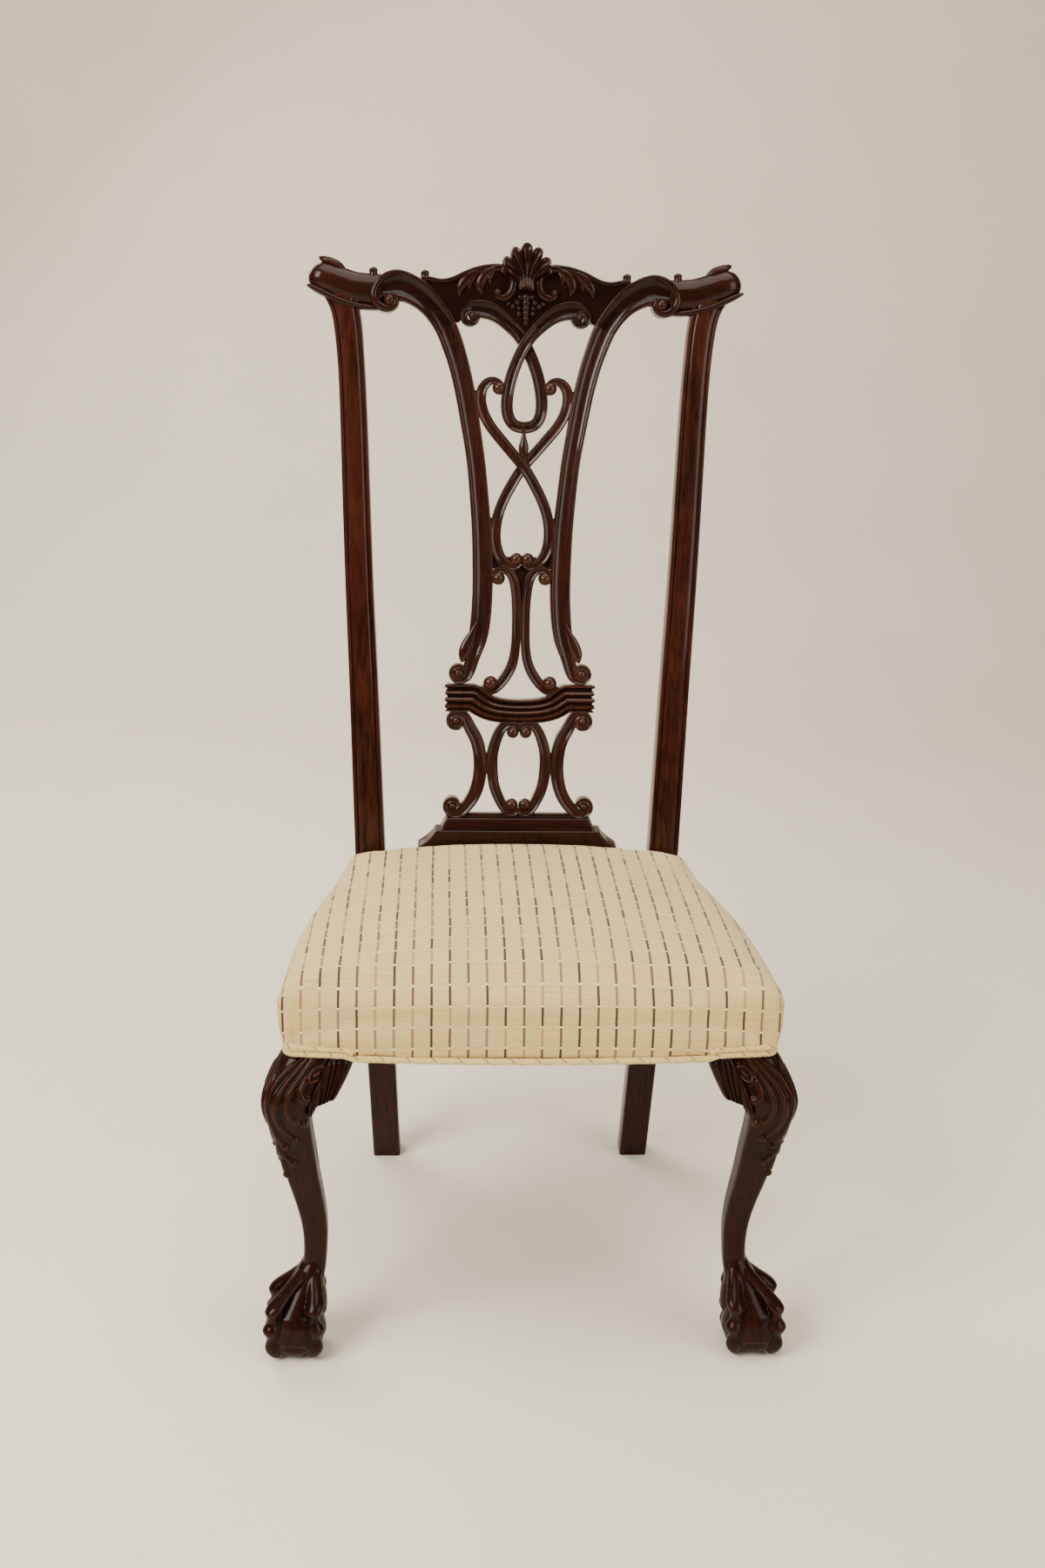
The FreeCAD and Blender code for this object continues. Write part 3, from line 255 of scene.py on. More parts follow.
class Carving:
    """Closed shells that together make one piece, in layout millimetres."""

    def __init__(self):
        self.points = []
        self.faces = []
        self.rub = []
        self.dirt = []

    def add(self, points, faces, rub=1.0, dirt=0.0):
        """A shell; rub scales the wear on its ridges, and the last value is the least darkening on
        it, dirt and painted shade together.
        """
        start = len(self.points)
        self.points.extend(map(tuple, points))
        self.faces.extend(tuple(start + k for k in face) for face in faces)
        self.rub.extend([rub] * len(points))
        self.dirt.extend([dirt] * len(points))

    def loft(self, rings, pair=True, **finish):
        """A closed skin through rings of equal count, with flat ends, and its mirror image."""
        rings = edged(rings)
        count, around = rings.shape[:2]
        ends = [tuple(range(start, start + around)) for start in (0, (count - 1) * around)]
        faces = quads(count, around) + ends
        points = rings.reshape(-1, 3)
        self.add(points, faces, **finish)
        if pair:
            self.add(points * MIRROR, faces, **finish)


def edged(rings, margin=0.8):
    """The rings with one more inside each flat end, so that wear stays at the end's edge."""
    ends = []
    for ring in (rings[0], rings[-1]):
        inward = ring.mean(axis=0) - ring
        reach = np.maximum(np.linalg.norm(inward, axis=1), 1e-6)[:, None]
        ends.append((ring + inward * np.minimum(0.5, margin / reach))[None])
    return np.concatenate([ends[0], rings, ends[1]])


def mesh_of(carving, name):
    """A mesh in metres in the shared frame, with its faces turned outwards."""
    points = np.array(carving.points) + np.array([0, FRAME_FRONT, 0])
    mesh = bpy.data.meshes.new(name)
    mesh.from_pydata((points * MM).tolist(), [], carving.faces)
    work = bmesh.new()
    work.from_mesh(mesh)
    bmesh.ops.recalc_face_normals(work, faces=work.faces)
    work.to_mesh(mesh)
    work.free()
    mesh.update()
    return mesh


def vertex_array(mesh, field="co"):
    values = np.empty(len(mesh.vertices) * 3)
    mesh.vertices.foreach_get(field, values)
    return values.reshape(-1, 3)


def set_vertices(mesh, points):
    mesh.vertices.foreach_set("co", np.ascontiguousarray(points).ravel())
    mesh.update()


def neighbour_mean(edges, values, count):
    """Mean of each vertex's neighbours."""
    total = np.zeros_like(values)
    np.add.at(total, edges[:, 0], values[edges[:, 1]])
    np.add.at(total, edges[:, 1], values[edges[:, 0]])
    share = np.maximum(count, 1)
    return total / (share[:, None] if values.ndim == 2 else share)


def mark_wear(mesh, gain=1.0, rub=1.0, dirt=0.0):
    """Stores where handling wears the polish, on ridges, and where the hollows are darkened: dirt
    gathered there, and painted shade.
    """
    points = vertex_array(mesh)
    normals = vertex_array(mesh, "normal")
    edges = np.empty(len(mesh.edges) * 2, dtype=np.int64)
    mesh.edges.foreach_get("vertices", edges)
    edges = edges.reshape(-1, 2)
    count = np.bincount(edges.ravel(), minlength=len(points))
    lengths = np.linalg.norm(points[edges[:, 0]] - points[edges[:, 1]], axis=1)
    reach = np.zeros(len(points))
    np.add.at(reach, edges[:, 0], lengths)
    np.add.at(reach, edges[:, 1], lengths)
    reach /= np.maximum(count, 1)
    pull = neighbour_mean(edges, points, count) - points
    bulge = -np.einsum("ij,ij->i", pull, normals) / np.maximum(reach, 1e-6) * gain
    bulge = 0.5 * bulge + 0.5 * neighbour_mean(edges, bulge, count)
    handled = np.where(normals[:, 1] > 0.3, 0.25, 1.0)
    wear = ramp(bulge, 0.05, 0.25) * handled
    # Hollows get a darkening value, dirt and painted shade together, that pulls the wood towards
    # its deep colour.
    grime = ramp(-bulge, 0.02, 0.14)
    for name, value in (("wear", wear * rub), ("grime", np.maximum(grime, dirt))):
        layer = mesh.attributes.new(name, "FLOAT", "POINT")
        layer.data.foreach_set("value", value.astype(np.float32))


def piece(name, mesh, material, nodes, crease=38.0):
    """A shown object that rides on the chair and stands for CAD nodes."""
    if len(mesh.polygons) == 0:
        raise RuntimeError(name + " came out empty")
    mesh.shade_smooth()
    if crease:
        mesh.set_sharp_from_angle(angle=math.radians(crease))
    made = bpy.data.objects.new(name, mesh)
    bpy.context.scene.collection.objects.link(made)
    mesh.materials.clear()
    mesh.materials.append(material)
    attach(made, "root")
    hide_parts(*nodes)
    return made


def evaluated_mesh(mesh, change):
    """The mesh after the modifiers that change() puts on a passing object."""
    passing = bpy.data.objects.new("passing", mesh)
    bpy.context.scene.collection.objects.link(passing)
    change(passing)
    graph = bpy.context.evaluated_depsgraph_get()
    result = bpy.data.meshes.new_from_object(passing.evaluated_get(graph), depsgraph=graph)
    bpy.data.objects.remove(passing)
    return result


def fused(mesh, voxel, smoothing):
    """One skin round overlapping shells, softened."""
    def change(passing):
        remesh = passing.modifiers.new("join", "REMESH")
        remesh.mode = "VOXEL"
        remesh.voxel_size = voxel
        soften = passing.modifiers.new("soften", "SMOOTH")
        soften.factor = 0.5
        soften.iterations = smoothing

    return evaluated_mesh(mesh, change)


# Moulded sections: share of the half width, and drop
COVE_HALF = [
    (0.0, 1.0), (0.2, 0.96), (0.38, 0.82), (0.52, 0.58), (0.61, 0.35), (0.67, 0.17), (0.71, 0.08),
    (0.76, 0.02), (0.82, 0.0), (0.88, 0.02), (0.93, 0.10), (0.97, 0.28), (1.0, 0.60),
]
ROUND_HALF = [
    (0.0, 0.0), (0.25, 0.06), (0.5, 0.28), (0.7, 0.6), (0.86, 1.05), (0.96, 1.6), (1.0, 2.2),
]
FLAT_HALF = [(0.0, 0.0), (0.5, 0.0), (0.9, 0.02), (0.98, 0.15), (1.0, 0.4)]
# The band's whole section, from its lower edge to its upper edge
BAND_SECTION = [
    (-1.0, 0.09), (-0.985, 0.045), (-0.95, 0.035), (-0.91, 0.05), (-0.86, 0.10), (-0.80, 0.105),
    (-0.74, 0.06), (-0.68, 0.015), (-0.60, 0.0), (-0.52, 0.015), (-0.47, 0.06), (-0.42, 0.115),
    (-0.35, 0.12), (-0.28, 0.07), (-0.21, 0.015), (-0.11, -0.01), (-0.01, 0.01), (0.05, 0.06),
    (0.10, 0.12), (0.18, 0.125), (0.25, 0.07), (0.31, 0.02), (0.39, 0.005), (0.47, 0.03),
    (0.54, 0.085), (0.62, 0.125), (0.71, 0.13), (0.78, 0.10), (0.815, 0.04), (0.835, 0.005),
    (0.86, 0.0), (0.955, 0.0), (0.985, 0.02), (1.0, 0.07),
]
# A strap's back: share of the half width, and how far the edge is eased there
BACK_SHARES = [1.0, 0.93, 0.8, 0.3, -0.3, -0.8, -0.93, -1.0]
BACK_EASE = [1.2, 0.2, 0.0, 0.0, 0.0, 0.0, 0.2, 1.2]


def both_halves(half, depth):
    """A symmetrical section from its middle outwards; depth is the drop as a share of the width."""
    rows = [(-share, drop * depth) for share, drop in reversed(half[1:])]
    return rows + [(share, drop * depth) for share, drop in half]


def strap_rings(rows, section, face, back):
    """Rings of a moulded strap along rows of x, height, width and proud."""
    rows = np.asarray(rows, float)
    x, height, width, proud = rows.T
    along = directions(rows[:, :2])
    side = np.array(section)
    across = np.concatenate([side[:, 0], BACK_SHARES])
    reach = across[None, :] * (width / 2)[:, None]
    front = (face - proud)[:, None] + side[:, 1][None, :] * width[:, None]
    rear = np.broadcast_to(back - np.array(BACK_EASE), (len(rows), len(BACK_EASE)))
    depth = np.concatenate([front, rear], axis=1)
    return on_back(x[:, None] + along[:, 1:2] * reach, depth,
                   height[:, None] - along[:, 0:1] * reach)


def curl(centre, stations):
    """Rows of a volute round its centre, from degrees, radius, width and proud."""
    rows = []
    for degrees, radius, width, proud in stations:
        angle = math.radians(degrees)
        x = centre[0] + radius * math.cos(angle)
        height = centre[1] + radius * math.sin(angle)
        rows.append((x, height, width, proud))
    return rows


def dome_rings(x, height, radius, depth, depth_radius, around=24, levels=13):
    """A flattened ball on the back."""
    tilt = np.linspace(-0.97, 0.97, levels)[:, None] * math.pi / 2
    turn = full_turn(around)[None, :]
    return on_back(x + radius * np.cos(tilt) * np.cos(turn), depth + depth_radius * np.sin(tilt),
                   height + radius * np.cos(tilt) * np.sin(turn))


def roll_rings(rows, depth, around=28):
    """A round bar on the back through rows of x, height, radius and depth radius."""
    along = directions(rows[:, :2])
    turn = full_turn(around)[None, :]
    reach = rows[:, 2:3] * np.cos(turn)
    return on_back(rows[:, 0:1] + along[:, 1:2] * reach, depth + rows[:, 3:4] * np.sin(turn),
                   rows[:, 1:2] - along[:, 0:1] * reach)


def cut_at_joint(rows):
    """Rows that start above the crest's joint, parted there: the upper rows and the lower ones."""
    crossing = int(np.argmax(rows[:, 1] < CREST_JOINT))
    return rows[:crossing + 1], rows[crossing:]


# Straps of the back: x, height, width, proud; and the rings of those that cross the crest's joint
OUTER_STRAP_RINGS = 460
RIBBON_RINGS = 320
STRAP_FOOT = (76.0, 661.5)
OUTER_STRAP = [
    (176, 1104.5, 10, 0.5), (173.5, 1110.5, 18, 0.3), (167.5, 1115, 26, 0),
    (159.5, 1117.6, 31.5, 0), (149.5, 1118.4, 34, 0), (137.5, 1114.6, 33, 0), (124, 1107, 31, 0),
    (111, 1095, 28, 0), (101, 1082, 26.8, 0), (93.5, 1069, 26.5, 0), (87, 1053, 26, 0),
    (81.5, 1037, 25, 0), (75.8, 1017, 24.4, 0), (71.2, 997, 24, 0), (67.4, 977, 23.7, 0),
    (63.2, 953, 23, 0), (57.3, 916, 22.5, 0), (53, 875, 23, 0), (49.6, 834, 24, 0),
    (47.8, 792, 25, 0), (47.6, 761, 25, 0), (49.8, 724, 24.6, 0), (53.8, 700, 22.5, 0),
    (59, 681, 18, 0.5),
] + curl(STRAP_FOOT, [
    (190, 11.0, 14, 1.0), (225, 9.4, 10.8, 1.6), (270, 8.8, 8.4, 2.2), (320, 8.7, 7.4, 2.7),
    (370, 8.6, 6.8, 3.0), (420, 8.6, 6.4, 3.2), (465, 8.4, 5.8, 3.2), (500, 8.0, 4.4, 3.0),
])
# From the foot of the loop to the crest's inner volute; this ribbon passes over its twin
RIBBON_VOLUTE = (63.5, 1085.0)
RIBBON = [
    (0, 957, 14, 0), (-11, 959.5, 14, 0), (-19, 970, 14.2, 0), (-20.8, 989, 14.4, 0),
    (-17, 1012, 14.4, 0), (-9.5, 1034, 14.4, 0), (0, 1053, 14.6, 0), (8, 1064.5, 15, 0),
    (18, 1074.8, 16, 0), (32, 1086.2, 18.5, 0), (47, 1092.4, 20.5, 0),
] + curl(RIBBON_VOLUTE, [
    (95, 8.6, 18.5, 0.2), (60, 8.4, 13, 0.6), (25, 9.4, 9.4, 1.1), (-10, 10.2, 8.4, 1.6),
    (-45, 9.8, 8.0, 2.1), (-84, 8.0, 7.4, 2.4), (-130, 6.9, 6.4, 2.6), (-171, 6.6, 5.4, 2.6),
    (-205, 6.2, 4.0, 2.4),
])
# Crossings: height, and how far up and down the straps bend there
RIBBON_CROSSING = (1053.0, 15.0)
LACE = [
    (-26.5, 1005.5, 4, 1.6), (-30.5, 1009.8, 6, 1.4), (-37, 1011.5, 8.5, 0.9),
    (-44.5, 1009, 11, 0.3), (-50.5, 1001.5, 12.5, 0), (-52.4, 989, 13, 0), (-48.6, 973, 13, 0),
    (-39.5, 957, 13, 0), (-27, 942, 13, 0), (-13.5, 926.5, 13, 0), (0, 911, 13, 0),
    (10, 896, 13, 0), (20.5, 877, 13, 0), (29, 856, 13, 0), (32.8, 835, 13.5, 0),
    (31.5, 816, 13.5, 0), (25, 801.5, 12.5, 0), (15.5, 794, 10.5, 0.4), (7.5, 792, 8, 0.9),
    (1.6, 796, 4.5, 1.4),
]
LACE_CROSSING = (911.0, 13.0)
# How far the upper strap rises at a crossing, and the lower strap's share of that
CROSSING_LIFT = 2.6
UNDER_SHARE = -0.7
MIDDLE_SCROLL = [
    (35.2, 780.5, 4, 1.5), (32.2, 785.6, 6.4, 1.2), (25.5, 788.2, 8.8, 0.6),
    (17.4, 786.4, 10.8, 0.2), (11.2, 779, 11.6, 0), (7.6, 765, 11.6, 0), (5.9, 745, 11.2, 0),
    (5.5, 719, 11, 0), (6.4, 692, 11.4, 0), (10.6, 671, 12.4, 0), (18.6, 656, 12.6, 0),
    (27.5, 645.4, 12, 0.3), (36, 640, 10, 0.8), (42.6, 641.4, 7, 1.2), (45.6, 646.4, 4.4, 1.5),
]
SCROLL_TOP = (78.5, 602.5)
SCROLL_FOOT = (82.0, 495.5)
LOWER_SCROLL = curl(SCROLL_TOP, [
    (-190, 7.6, 4.6, 2.6), (-140, 8.0, 6.0, 2.6), (-90, 8.3, 6.8, 2.4), (-30, 8.6, 7.2, 2.1),
    (30, 8.8, 7.8, 1.7), (80, 8.9, 8.8, 1.3), (120, 9.6, 10.4, 0.9), (155, 11.4, 12.8, 0.4),
]) + [
    (61.6, 594.5, 15, 0), (54.6, 582, 16, 0), (49.6, 566, 16.4, 0), (47.9, 548, 16.4, 0),
    (48.8, 532, 16.4, 0), (53.6, 513, 16, 0), (61.8, 498.5, 15, 0),
] + curl(SCROLL_FOOT, [
    (212, 13.0, 13.4, 0.3), (245, 10.8, 11.4, 0.8), (283, 9.4, 9.0, 1.3), (330, 8.8, 7.6, 1.8),
    (385, 8.6, 7.0, 2.2), (440, 8.4, 6.6, 2.5), (490, 8.0, 5.8, 2.7), (540, 7.6, 4.4, 2.7),
])
LOWER_OVAL = [
    (1.6, 589.5, 4.2, 1.5), (2.6, 595.6, 6.6, 1.2), (8.2, 599.2, 9, 0.7), (15.4, 598.2, 11, 0.2),
    (22.6, 591.5, 12.4, 0), (28.8, 577.5, 13.4, 0), (32.8, 560, 14, 0), (32.8, 540, 14, 0),
    (29.8, 520, 13.4, 0), (23, 503, 12.8, 0), (15.2, 490.8, 11.4, 0.3), (8, 487.4, 9.4, 0.8),
    (2.2, 489.4, 6.6, 1.2), (0.8, 494.6, 4.2, 1.5),
]
# The band's kinks are mitred, so its line isn't smoothed: x, height, width
BAND_END = 93.0
BAND_RETURN = 88.0
BAND_PROUD = 3.0
BAND_END_DROP = 0.13
BAND = [
    (BAND_END, 631, 34), (58, 631, 34), (47, 623.6, 32.5), (42, 620.6, 31.5), (35, 617.9, 30.6),
    (26, 615.9, 29.8), (14, 614.7, 29.2), (0, 614.3, 29),
]
# Eyes of the scrolls: x, height, radius
SCROLL_EYES = [
    (30.6, 1002.8, 8.2), (6.8, 800.6, 8.0), (28.6, 777.6, 8.4), (36.6, 649.6, 9.0),
    (8.0, 588.6, 7.6), (8.2, 497.6, 8.0), (*STRAP_FOOT, 6.4), (*SCROLL_TOP, 5.6),
    (*SCROLL_FOOT, 5.6),
]
FOOT_LEAVES = [
    [(54, 724, 3, 0.4), (58.5, 713, 7.5, 1.0), (62, 704, 8.5, 1.4), (64.4, 697.5, 4, 1.0)],
    [(57, 716, 4, 0.6), (62, 705, 11, 1.4), (66.2, 696, 13.5, 2.0), (69.6, 687.5, 13, 2.4),
     (71.4, 680, 8.5, 2.0), (72, 675, 3, 1.0)],
]
# Sunk ground that joins the ribbon to the straps, and the two middle scrolls: x, height, width
SPLAT_WEB = [
    (-38, 802, 28), (-30, 802, 28), (-23, 795, 17), (0, 792, 24), (23, 795, 17), (30, 802, 28),
    (38, 802, 28),
]
SCROLL_WEB = [(0, 796, 26), (0, 780, 22), (0, 765, 16), (0, 748, 11), (0, 728, 7), (0, 705, 5)]
WEB_SUNK = -4.5
# Bridges where two straps touch: x, lower end, upper end, width
STRAP_TOUCHES = [(40.2, 536, 562, 4), (58.4, 968, 1000, 5), (38.4, 824, 850, 5)]
TOUCH_SUNK = -3.5
# Ground along the foot, and the bud above the lace's crossing
SPLAT_FOOT = [(-86, 480, 12, -3), (0, 480, 12, -3), (86, 480, 12, -3)]
LACE_BUD = [
    (0, 955, 5, 1), (0, 947, 5.5, 1.5), (0, 937, 11, 3), (0, 929, 11, 3), (0, 922, 7, 2),
    (0, 915, 12, 1), (0, 908, 10, 0),
]


def add_crossing(carving, rows, section, crossing, face, back):
    """Twin straps that cross: the drawn one passes over, its mirror image under."""
    height, spread = crossing
    lift = CROSSING_LIFT * np.exp(-((rows[:, 1] - height) / spread) ** 2)
    for mirror, share in ((1, 1.0), (-1, UNDER_SHARE)):
        moved = rows.copy()
        moved[:, 3] += lift * share
        rings = strap_rings(moved, section, face, back)
        carving.loft(rings * np.array([mirror, 1, 1]), pair=False)


def band_rings():
    """The moulded band across the splat, with its section returned at both ends."""
    corners = np.array(BAND + [(-x, height, width) for x, height, width in BAND[-2::-1]])
    at = np.concatenate([[BAND_END], np.linspace(BAND_RETURN, -BAND_RETURN, 133), [-BAND_END]])
    line = [np.interp(-at, -corners[:, 0], corners[:, k]) for k in (1, 2)]
    rows = np.stack([at, *line, np.full(len(at), BAND_PROUD)], axis=1)
    rings = strap_rings(rows, BAND_SECTION, SPLAT_FACE, SPLAT_BACK)
    drops = [drop for _, drop in BAND_SECTION] + [BAND_END_DROP] * len(BACK_EASE)
    returned = np.array(drops) * BAND[0][2]
    for ring, side in ((rings[0], 1), (rings[-1], -1)):
        ring[:, 0] -= side * returned
    return rings


def splat_carving(cove):
    """Pierced splat: straps, ribbons, scrolls and the moulded band."""
    carving = Carving()
    hollow = both_halves(COVE_HALF, cove)
    shallow = both_halves(COVE_HALF, cove * 0.8)
    plain = both_halves(FLAT_HALF, cove)
    leafy = both_halves(ROUND_HALF, 0.12)
    rounded = both_halves(ROUND_HALF, 0.16)
    face, back = SPLAT_FACE, SPLAT_BACK
    strap = cut_at_joint(spline(OUTER_STRAP, OUTER_STRAP_RINGS))[1]
    carving.loft(strap_rings(strap, hollow, face, back))
    ribbon = cut_at_joint(spline(RIBBON, RIBBON_RINGS)[::-1])[1]
    add_crossing(carving, ribbon, hollow, RIBBON_CROSSING, face, back)
    add_crossing(carving, spline(LACE, 200), shallow, LACE_CROSSING, face, back)
    for rows, count in ((MIDDLE_SCROLL, 150), (LOWER_SCROLL, 200), (LOWER_OVAL, 140)):
        carving.loft(strap_rings(spline(rows, count), hollow, face, back))
    for x, height, radius in SCROLL_EYES:
        carving.loft(dome_rings(x, height, radius, face + 2.5, radius), rub=0.5)
    for leaf in FOOT_LEAVES:
        carving.loft(strap_rings(spline(leaf, 40), leafy, face, back - 3), rub=0.6)
    carving.loft(band_rings(), pair=False, rub=0.2)
    # The sunk grounds behind the straps are darkened: painted shade on the recessed ground, with
    # some dirt.
    sunk = dict(rub=0.0, dirt=0.5)
    for web in (SPLAT_WEB, SCROLL_WEB):
        rows = [(*row, WEB_SUNK) for row in web]
        carving.loft(strap_rings(rows, plain, face, back), pair=False, **sunk)
    for x, low, high, width in STRAP_TOUCHES:
        rows = [(x, height, width, TOUCH_SUNK) for height in (low, (low + high) / 2, high)]
        carving.loft(strap_rings(rows, plain, face, back), **sunk)
    carving.loft(strap_rings(SPLAT_FOOT, plain, face, back), pair=False, **sunk)
    carving.loft(strap_rings(spline(LACE_BUD, 50), rounded, face, back), pair=False)
    return carving


# Crest: outline of its sunk field, as x and height
CREST_FIELD = [
    (0, 1057), (7, 1065), (17, 1076), (31, 1086), (46, 1091), (62, 1093), (73, 1089), (80, 1078),
    (93, 1074), (104, 1090), (118, 1108), (126, 1122), (113, 1126), (102, 1124), (87, 1126.5),
    (72, 1133.5), (56, 1139), (44, 1141), (35, 1142), (0, 1142),
]
CREST_TOP_RIM = [
    (124, 1127, 4, 1.5), (113, 1126.5, 5, 1.5), (102, 1124.5, 5, 1.5), (87, 1127, 5, 1.5),
    (72, 1134, 5, 1.5), (56, 1139.5, 5.5, 1.5), (44, 1141.5, 6, 1.5), (33, 1142.5, 6, 1.5),
]
# Raised rim that leaves the strap's upper edge and curls in to the ear's eye
CREST_CURL = [
    (138, 1130.5, 3, 0.4), (149, 1133.2, 5, 1.2), (160.5, 1131.6, 6.4, 2.2),
    (169.5, 1126.6, 7.4, 3.0), (176.4, 1118.6, 8.4, 3.6), (180.2, 1109.8, 9.2, 4.0),
    (179.2, 1101.6, 9.6, 4.2), (173.4, 1094.8, 9.8, 4.2), (164.6, 1091.8, 9.4, 4.0),
    (156.6, 1094.6, 8.2, 3.8), (153.6, 1101, 6.4, 3.6), (156.2, 1106.6, 5, 3.4),
    (161, 1108, 3.4, 3.0),
]
# Rolled ear: x, height, radius, radius in depth
EAR = [
    (172, 1111.6, 19.5, 12.5), (186, 1112, 19.8, 13.5), (203, 1113.8, 19.6, 14),
    (216, 1117.4, 19.6, 14.5), (229, 1121.6, 19.4, 15), (238, 1124.8, 19, 15.5),
    (245.5, 1127.6, 17, 14.5), (251, 1129.8, 13, 11.5), (254.6, 1131.2, 7.6, 7),
    (256.4, 1132, 0.6, 0.6),
]
EAR_LIP = [
    (172, 1091.6, 4, 1), (185, 1092.6, 6.5, 2.4), (197, 1093.8, 7.2, 3.4), (213, 1097.2, 7.6, 4.4),
    (227, 1102.2, 7.6, 5.2), (239.5, 1108, 7.4, 6), (250, 1112.8, 6.4, 6),
    (258.4, 1116.4, 2.6, 4.8),
]
EAR_LEAF = [
    (214, 1134.5, 1.5, 4), (219, 1138.2, 4, 7), (226, 1141.8, 5, 8.5), (233, 1144.4, 5, 8.5),
    (239, 1146.4, 4, 7), (243, 1148.2, 2.6, 4), (244.8, 1149.6, 0.5, 1.5),
]
# Knobs on the top edge: where they stand, and height, radius and depth radius on the way up
KNOBS = [(120, 1127), (181, 1129)]
KNOB_TURNING = [(0, 5.4, 5.4), (3.5, 4.9, 5.2), (6, 5.0, 5.4), (8.6, 4.0, 4.8), (10, 0.6, 1)]
# Eye of the ear's curl, and a bead beside it: x, height, radius, depth, depth radius, rub
CURL_EYES = [(161.4, 1101.2, 7.2, 0.5, 7.5, 0.8), (147.4, 1101.4, 2.4, 2, 4.0, 0.6)]
CURL_RECESS = (166, 1106, 14)
SHELL_SCROLL_EYE = (33.8, 1112.4, 4.4)
SHELL_SCROLL = [
    (36.6, 1112.8, 3.6, 3.4), (34, 1108.4, 5.6, 4.6), (28.2, 1106.4, 7.4, 5.6),
    (21.4, 1109, 8.4, 6), (16.4, 1116, 8.8, 6.2), (15, 1124, 9, 6.2), (17, 1132, 9, 6),
    (22.4, 1137.8, 8.8, 5.6), (29.6, 1140.4, 8.6, 5), (37, 1140.4, 8, 4.4), (44, 1138, 5, 2.8),
]
FIELD_LEAVES = [
    [(33, 1140, 4, 2.4), (42, 1137.4, 8.5, 4), (50, 1131, 12, 5), (54.4, 1123, 12, 5),
     (54.4, 1116, 8, 3.8), (52.4, 1110.6, 2.5, 1.6)],
    [(50, 1139.4, 4, 2), (61, 1134.4, 8.5, 4), (70.6, 1127.4, 11.5, 4.8), (76.8, 1120, 11, 4.6),
     (79, 1113.6, 7, 3.4), (79, 1108.6, 2.5, 1.6)],
    [(38, 1136, 2.5, 1.6), (42, 1131.6, 5.5, 3.2), (43.4, 1126.6, 5, 3), (42.4, 1122, 2, 1.4)],
    [(60, 1130, 2.5, 1.6), (65, 1125.6, 5.5, 3), (67.4, 1120.6, 5, 2.8), (67, 1116, 2, 1.4)],
]
# Bell flowers and berries under the shell: x, height, radius
HUSK_BEADS = [
    (0, 1107.4, 5.6), (0, 1100.8, 5.2), (0, 1094.4, 4.9), (0, 1088.4, 4.5), (0, 1082.6, 4.0),
    (0, 1077.6, 3.2), (7, 1107.4, 3.4), (10.4, 1101.2, 3.5), (15.6, 1096.4, 3.3),
    (8.6, 1094.6, 2.9), (8.2, 1088.4, 3.2), (20.6, 1099.6, 2.8),
]
SHELL_FOOT = 1105.0
SHELL_ROOT = 8.6
# Along a lobe, by share of its length: how proud it stands, its hollow, and the share of its lean
SHELL_SHARES = [
    0.0, 0.03, 0.07, 0.12, 0.18, 0.25, 0.33, 0.42, 0.52, 0.62, 0.72, 0.81, 0.88, 0.93, 0.97, 1.0,
]
SHELL_BOW = [
    (0, 1), (0.04, 7), (0.12, 11), (0.2, 10.5), (0.33, 7.5), (0.6, 8.5), (0.88, 11.5), (0.96, 10.5),
    (1, 6.5),
]
SHELL_HOLLOW = [(0, 0), (0.16, 0.3), (0.3, 2.2), (0.6, 4.2), (0.92, 4.6), (1, 3.0)]
SHELL_LEAN = [
    (0, 0.15), (0.03, 0.5), (0.07, 0.76), (0.14, 0.9), (0.24, 0.7), (0.34, 0.61), (0.55, 0.72),
    (0.8, 0.93), (1, 1),
]
# Lobes of the shell: degrees from upright, half their spread, and length
SHELL_LOBES = [
    (-40.6, 4.6, 46.5), (-28.6, 7.6, 54.5), (-14.1, 7.0, 61), (0, 7.2, 64.5), (14.1, 7.0, 61),
    (28.6, 7.6, 54.5), (40.6, 4.6, 46.5),
]


def shell_rings():
    """Fluted shell: hollow lobes with ridges between them rise from a rolled foot."""
    shares = np.array(SHELL_SHARES)
    bow, hollow, lean_share = (read_off(t, shares) for t in (SHELL_BOW, SHELL_HOLLOW, SHELL_LEAN))
    front, rear = [], []
    for middle, spread, length in SHELL_LOBES:
        for across in np.linspace(-1, 1, 27)[:-1]:
            reach = length * (1 - 0.10 * abs(across) ** 2.4)
            radius = SHELL_ROOT + (reach - SHELL_ROOT) * shares
            lean = np.radians(middle + spread * across) * lean_share
            depth = CREST_FACE + 5.0 - bow + hollow * (1 - abs(across) ** 2.6)
            x, rise = radius * np.sin(lean), radius * np.cos(lean)
            height = SHELL_FOOT + rise
            front.append(on_back(x, depth, height))
            behind = SHELL_FOOT + (height - SHELL_FOOT) * 0.985
            rear.append(on_back(x * 0.98, np.full(len(shares), CREST_BACK - 5), behind))
    return np.concatenate([np.array(front), np.array(rear)[:, ::-1]], axis=1)


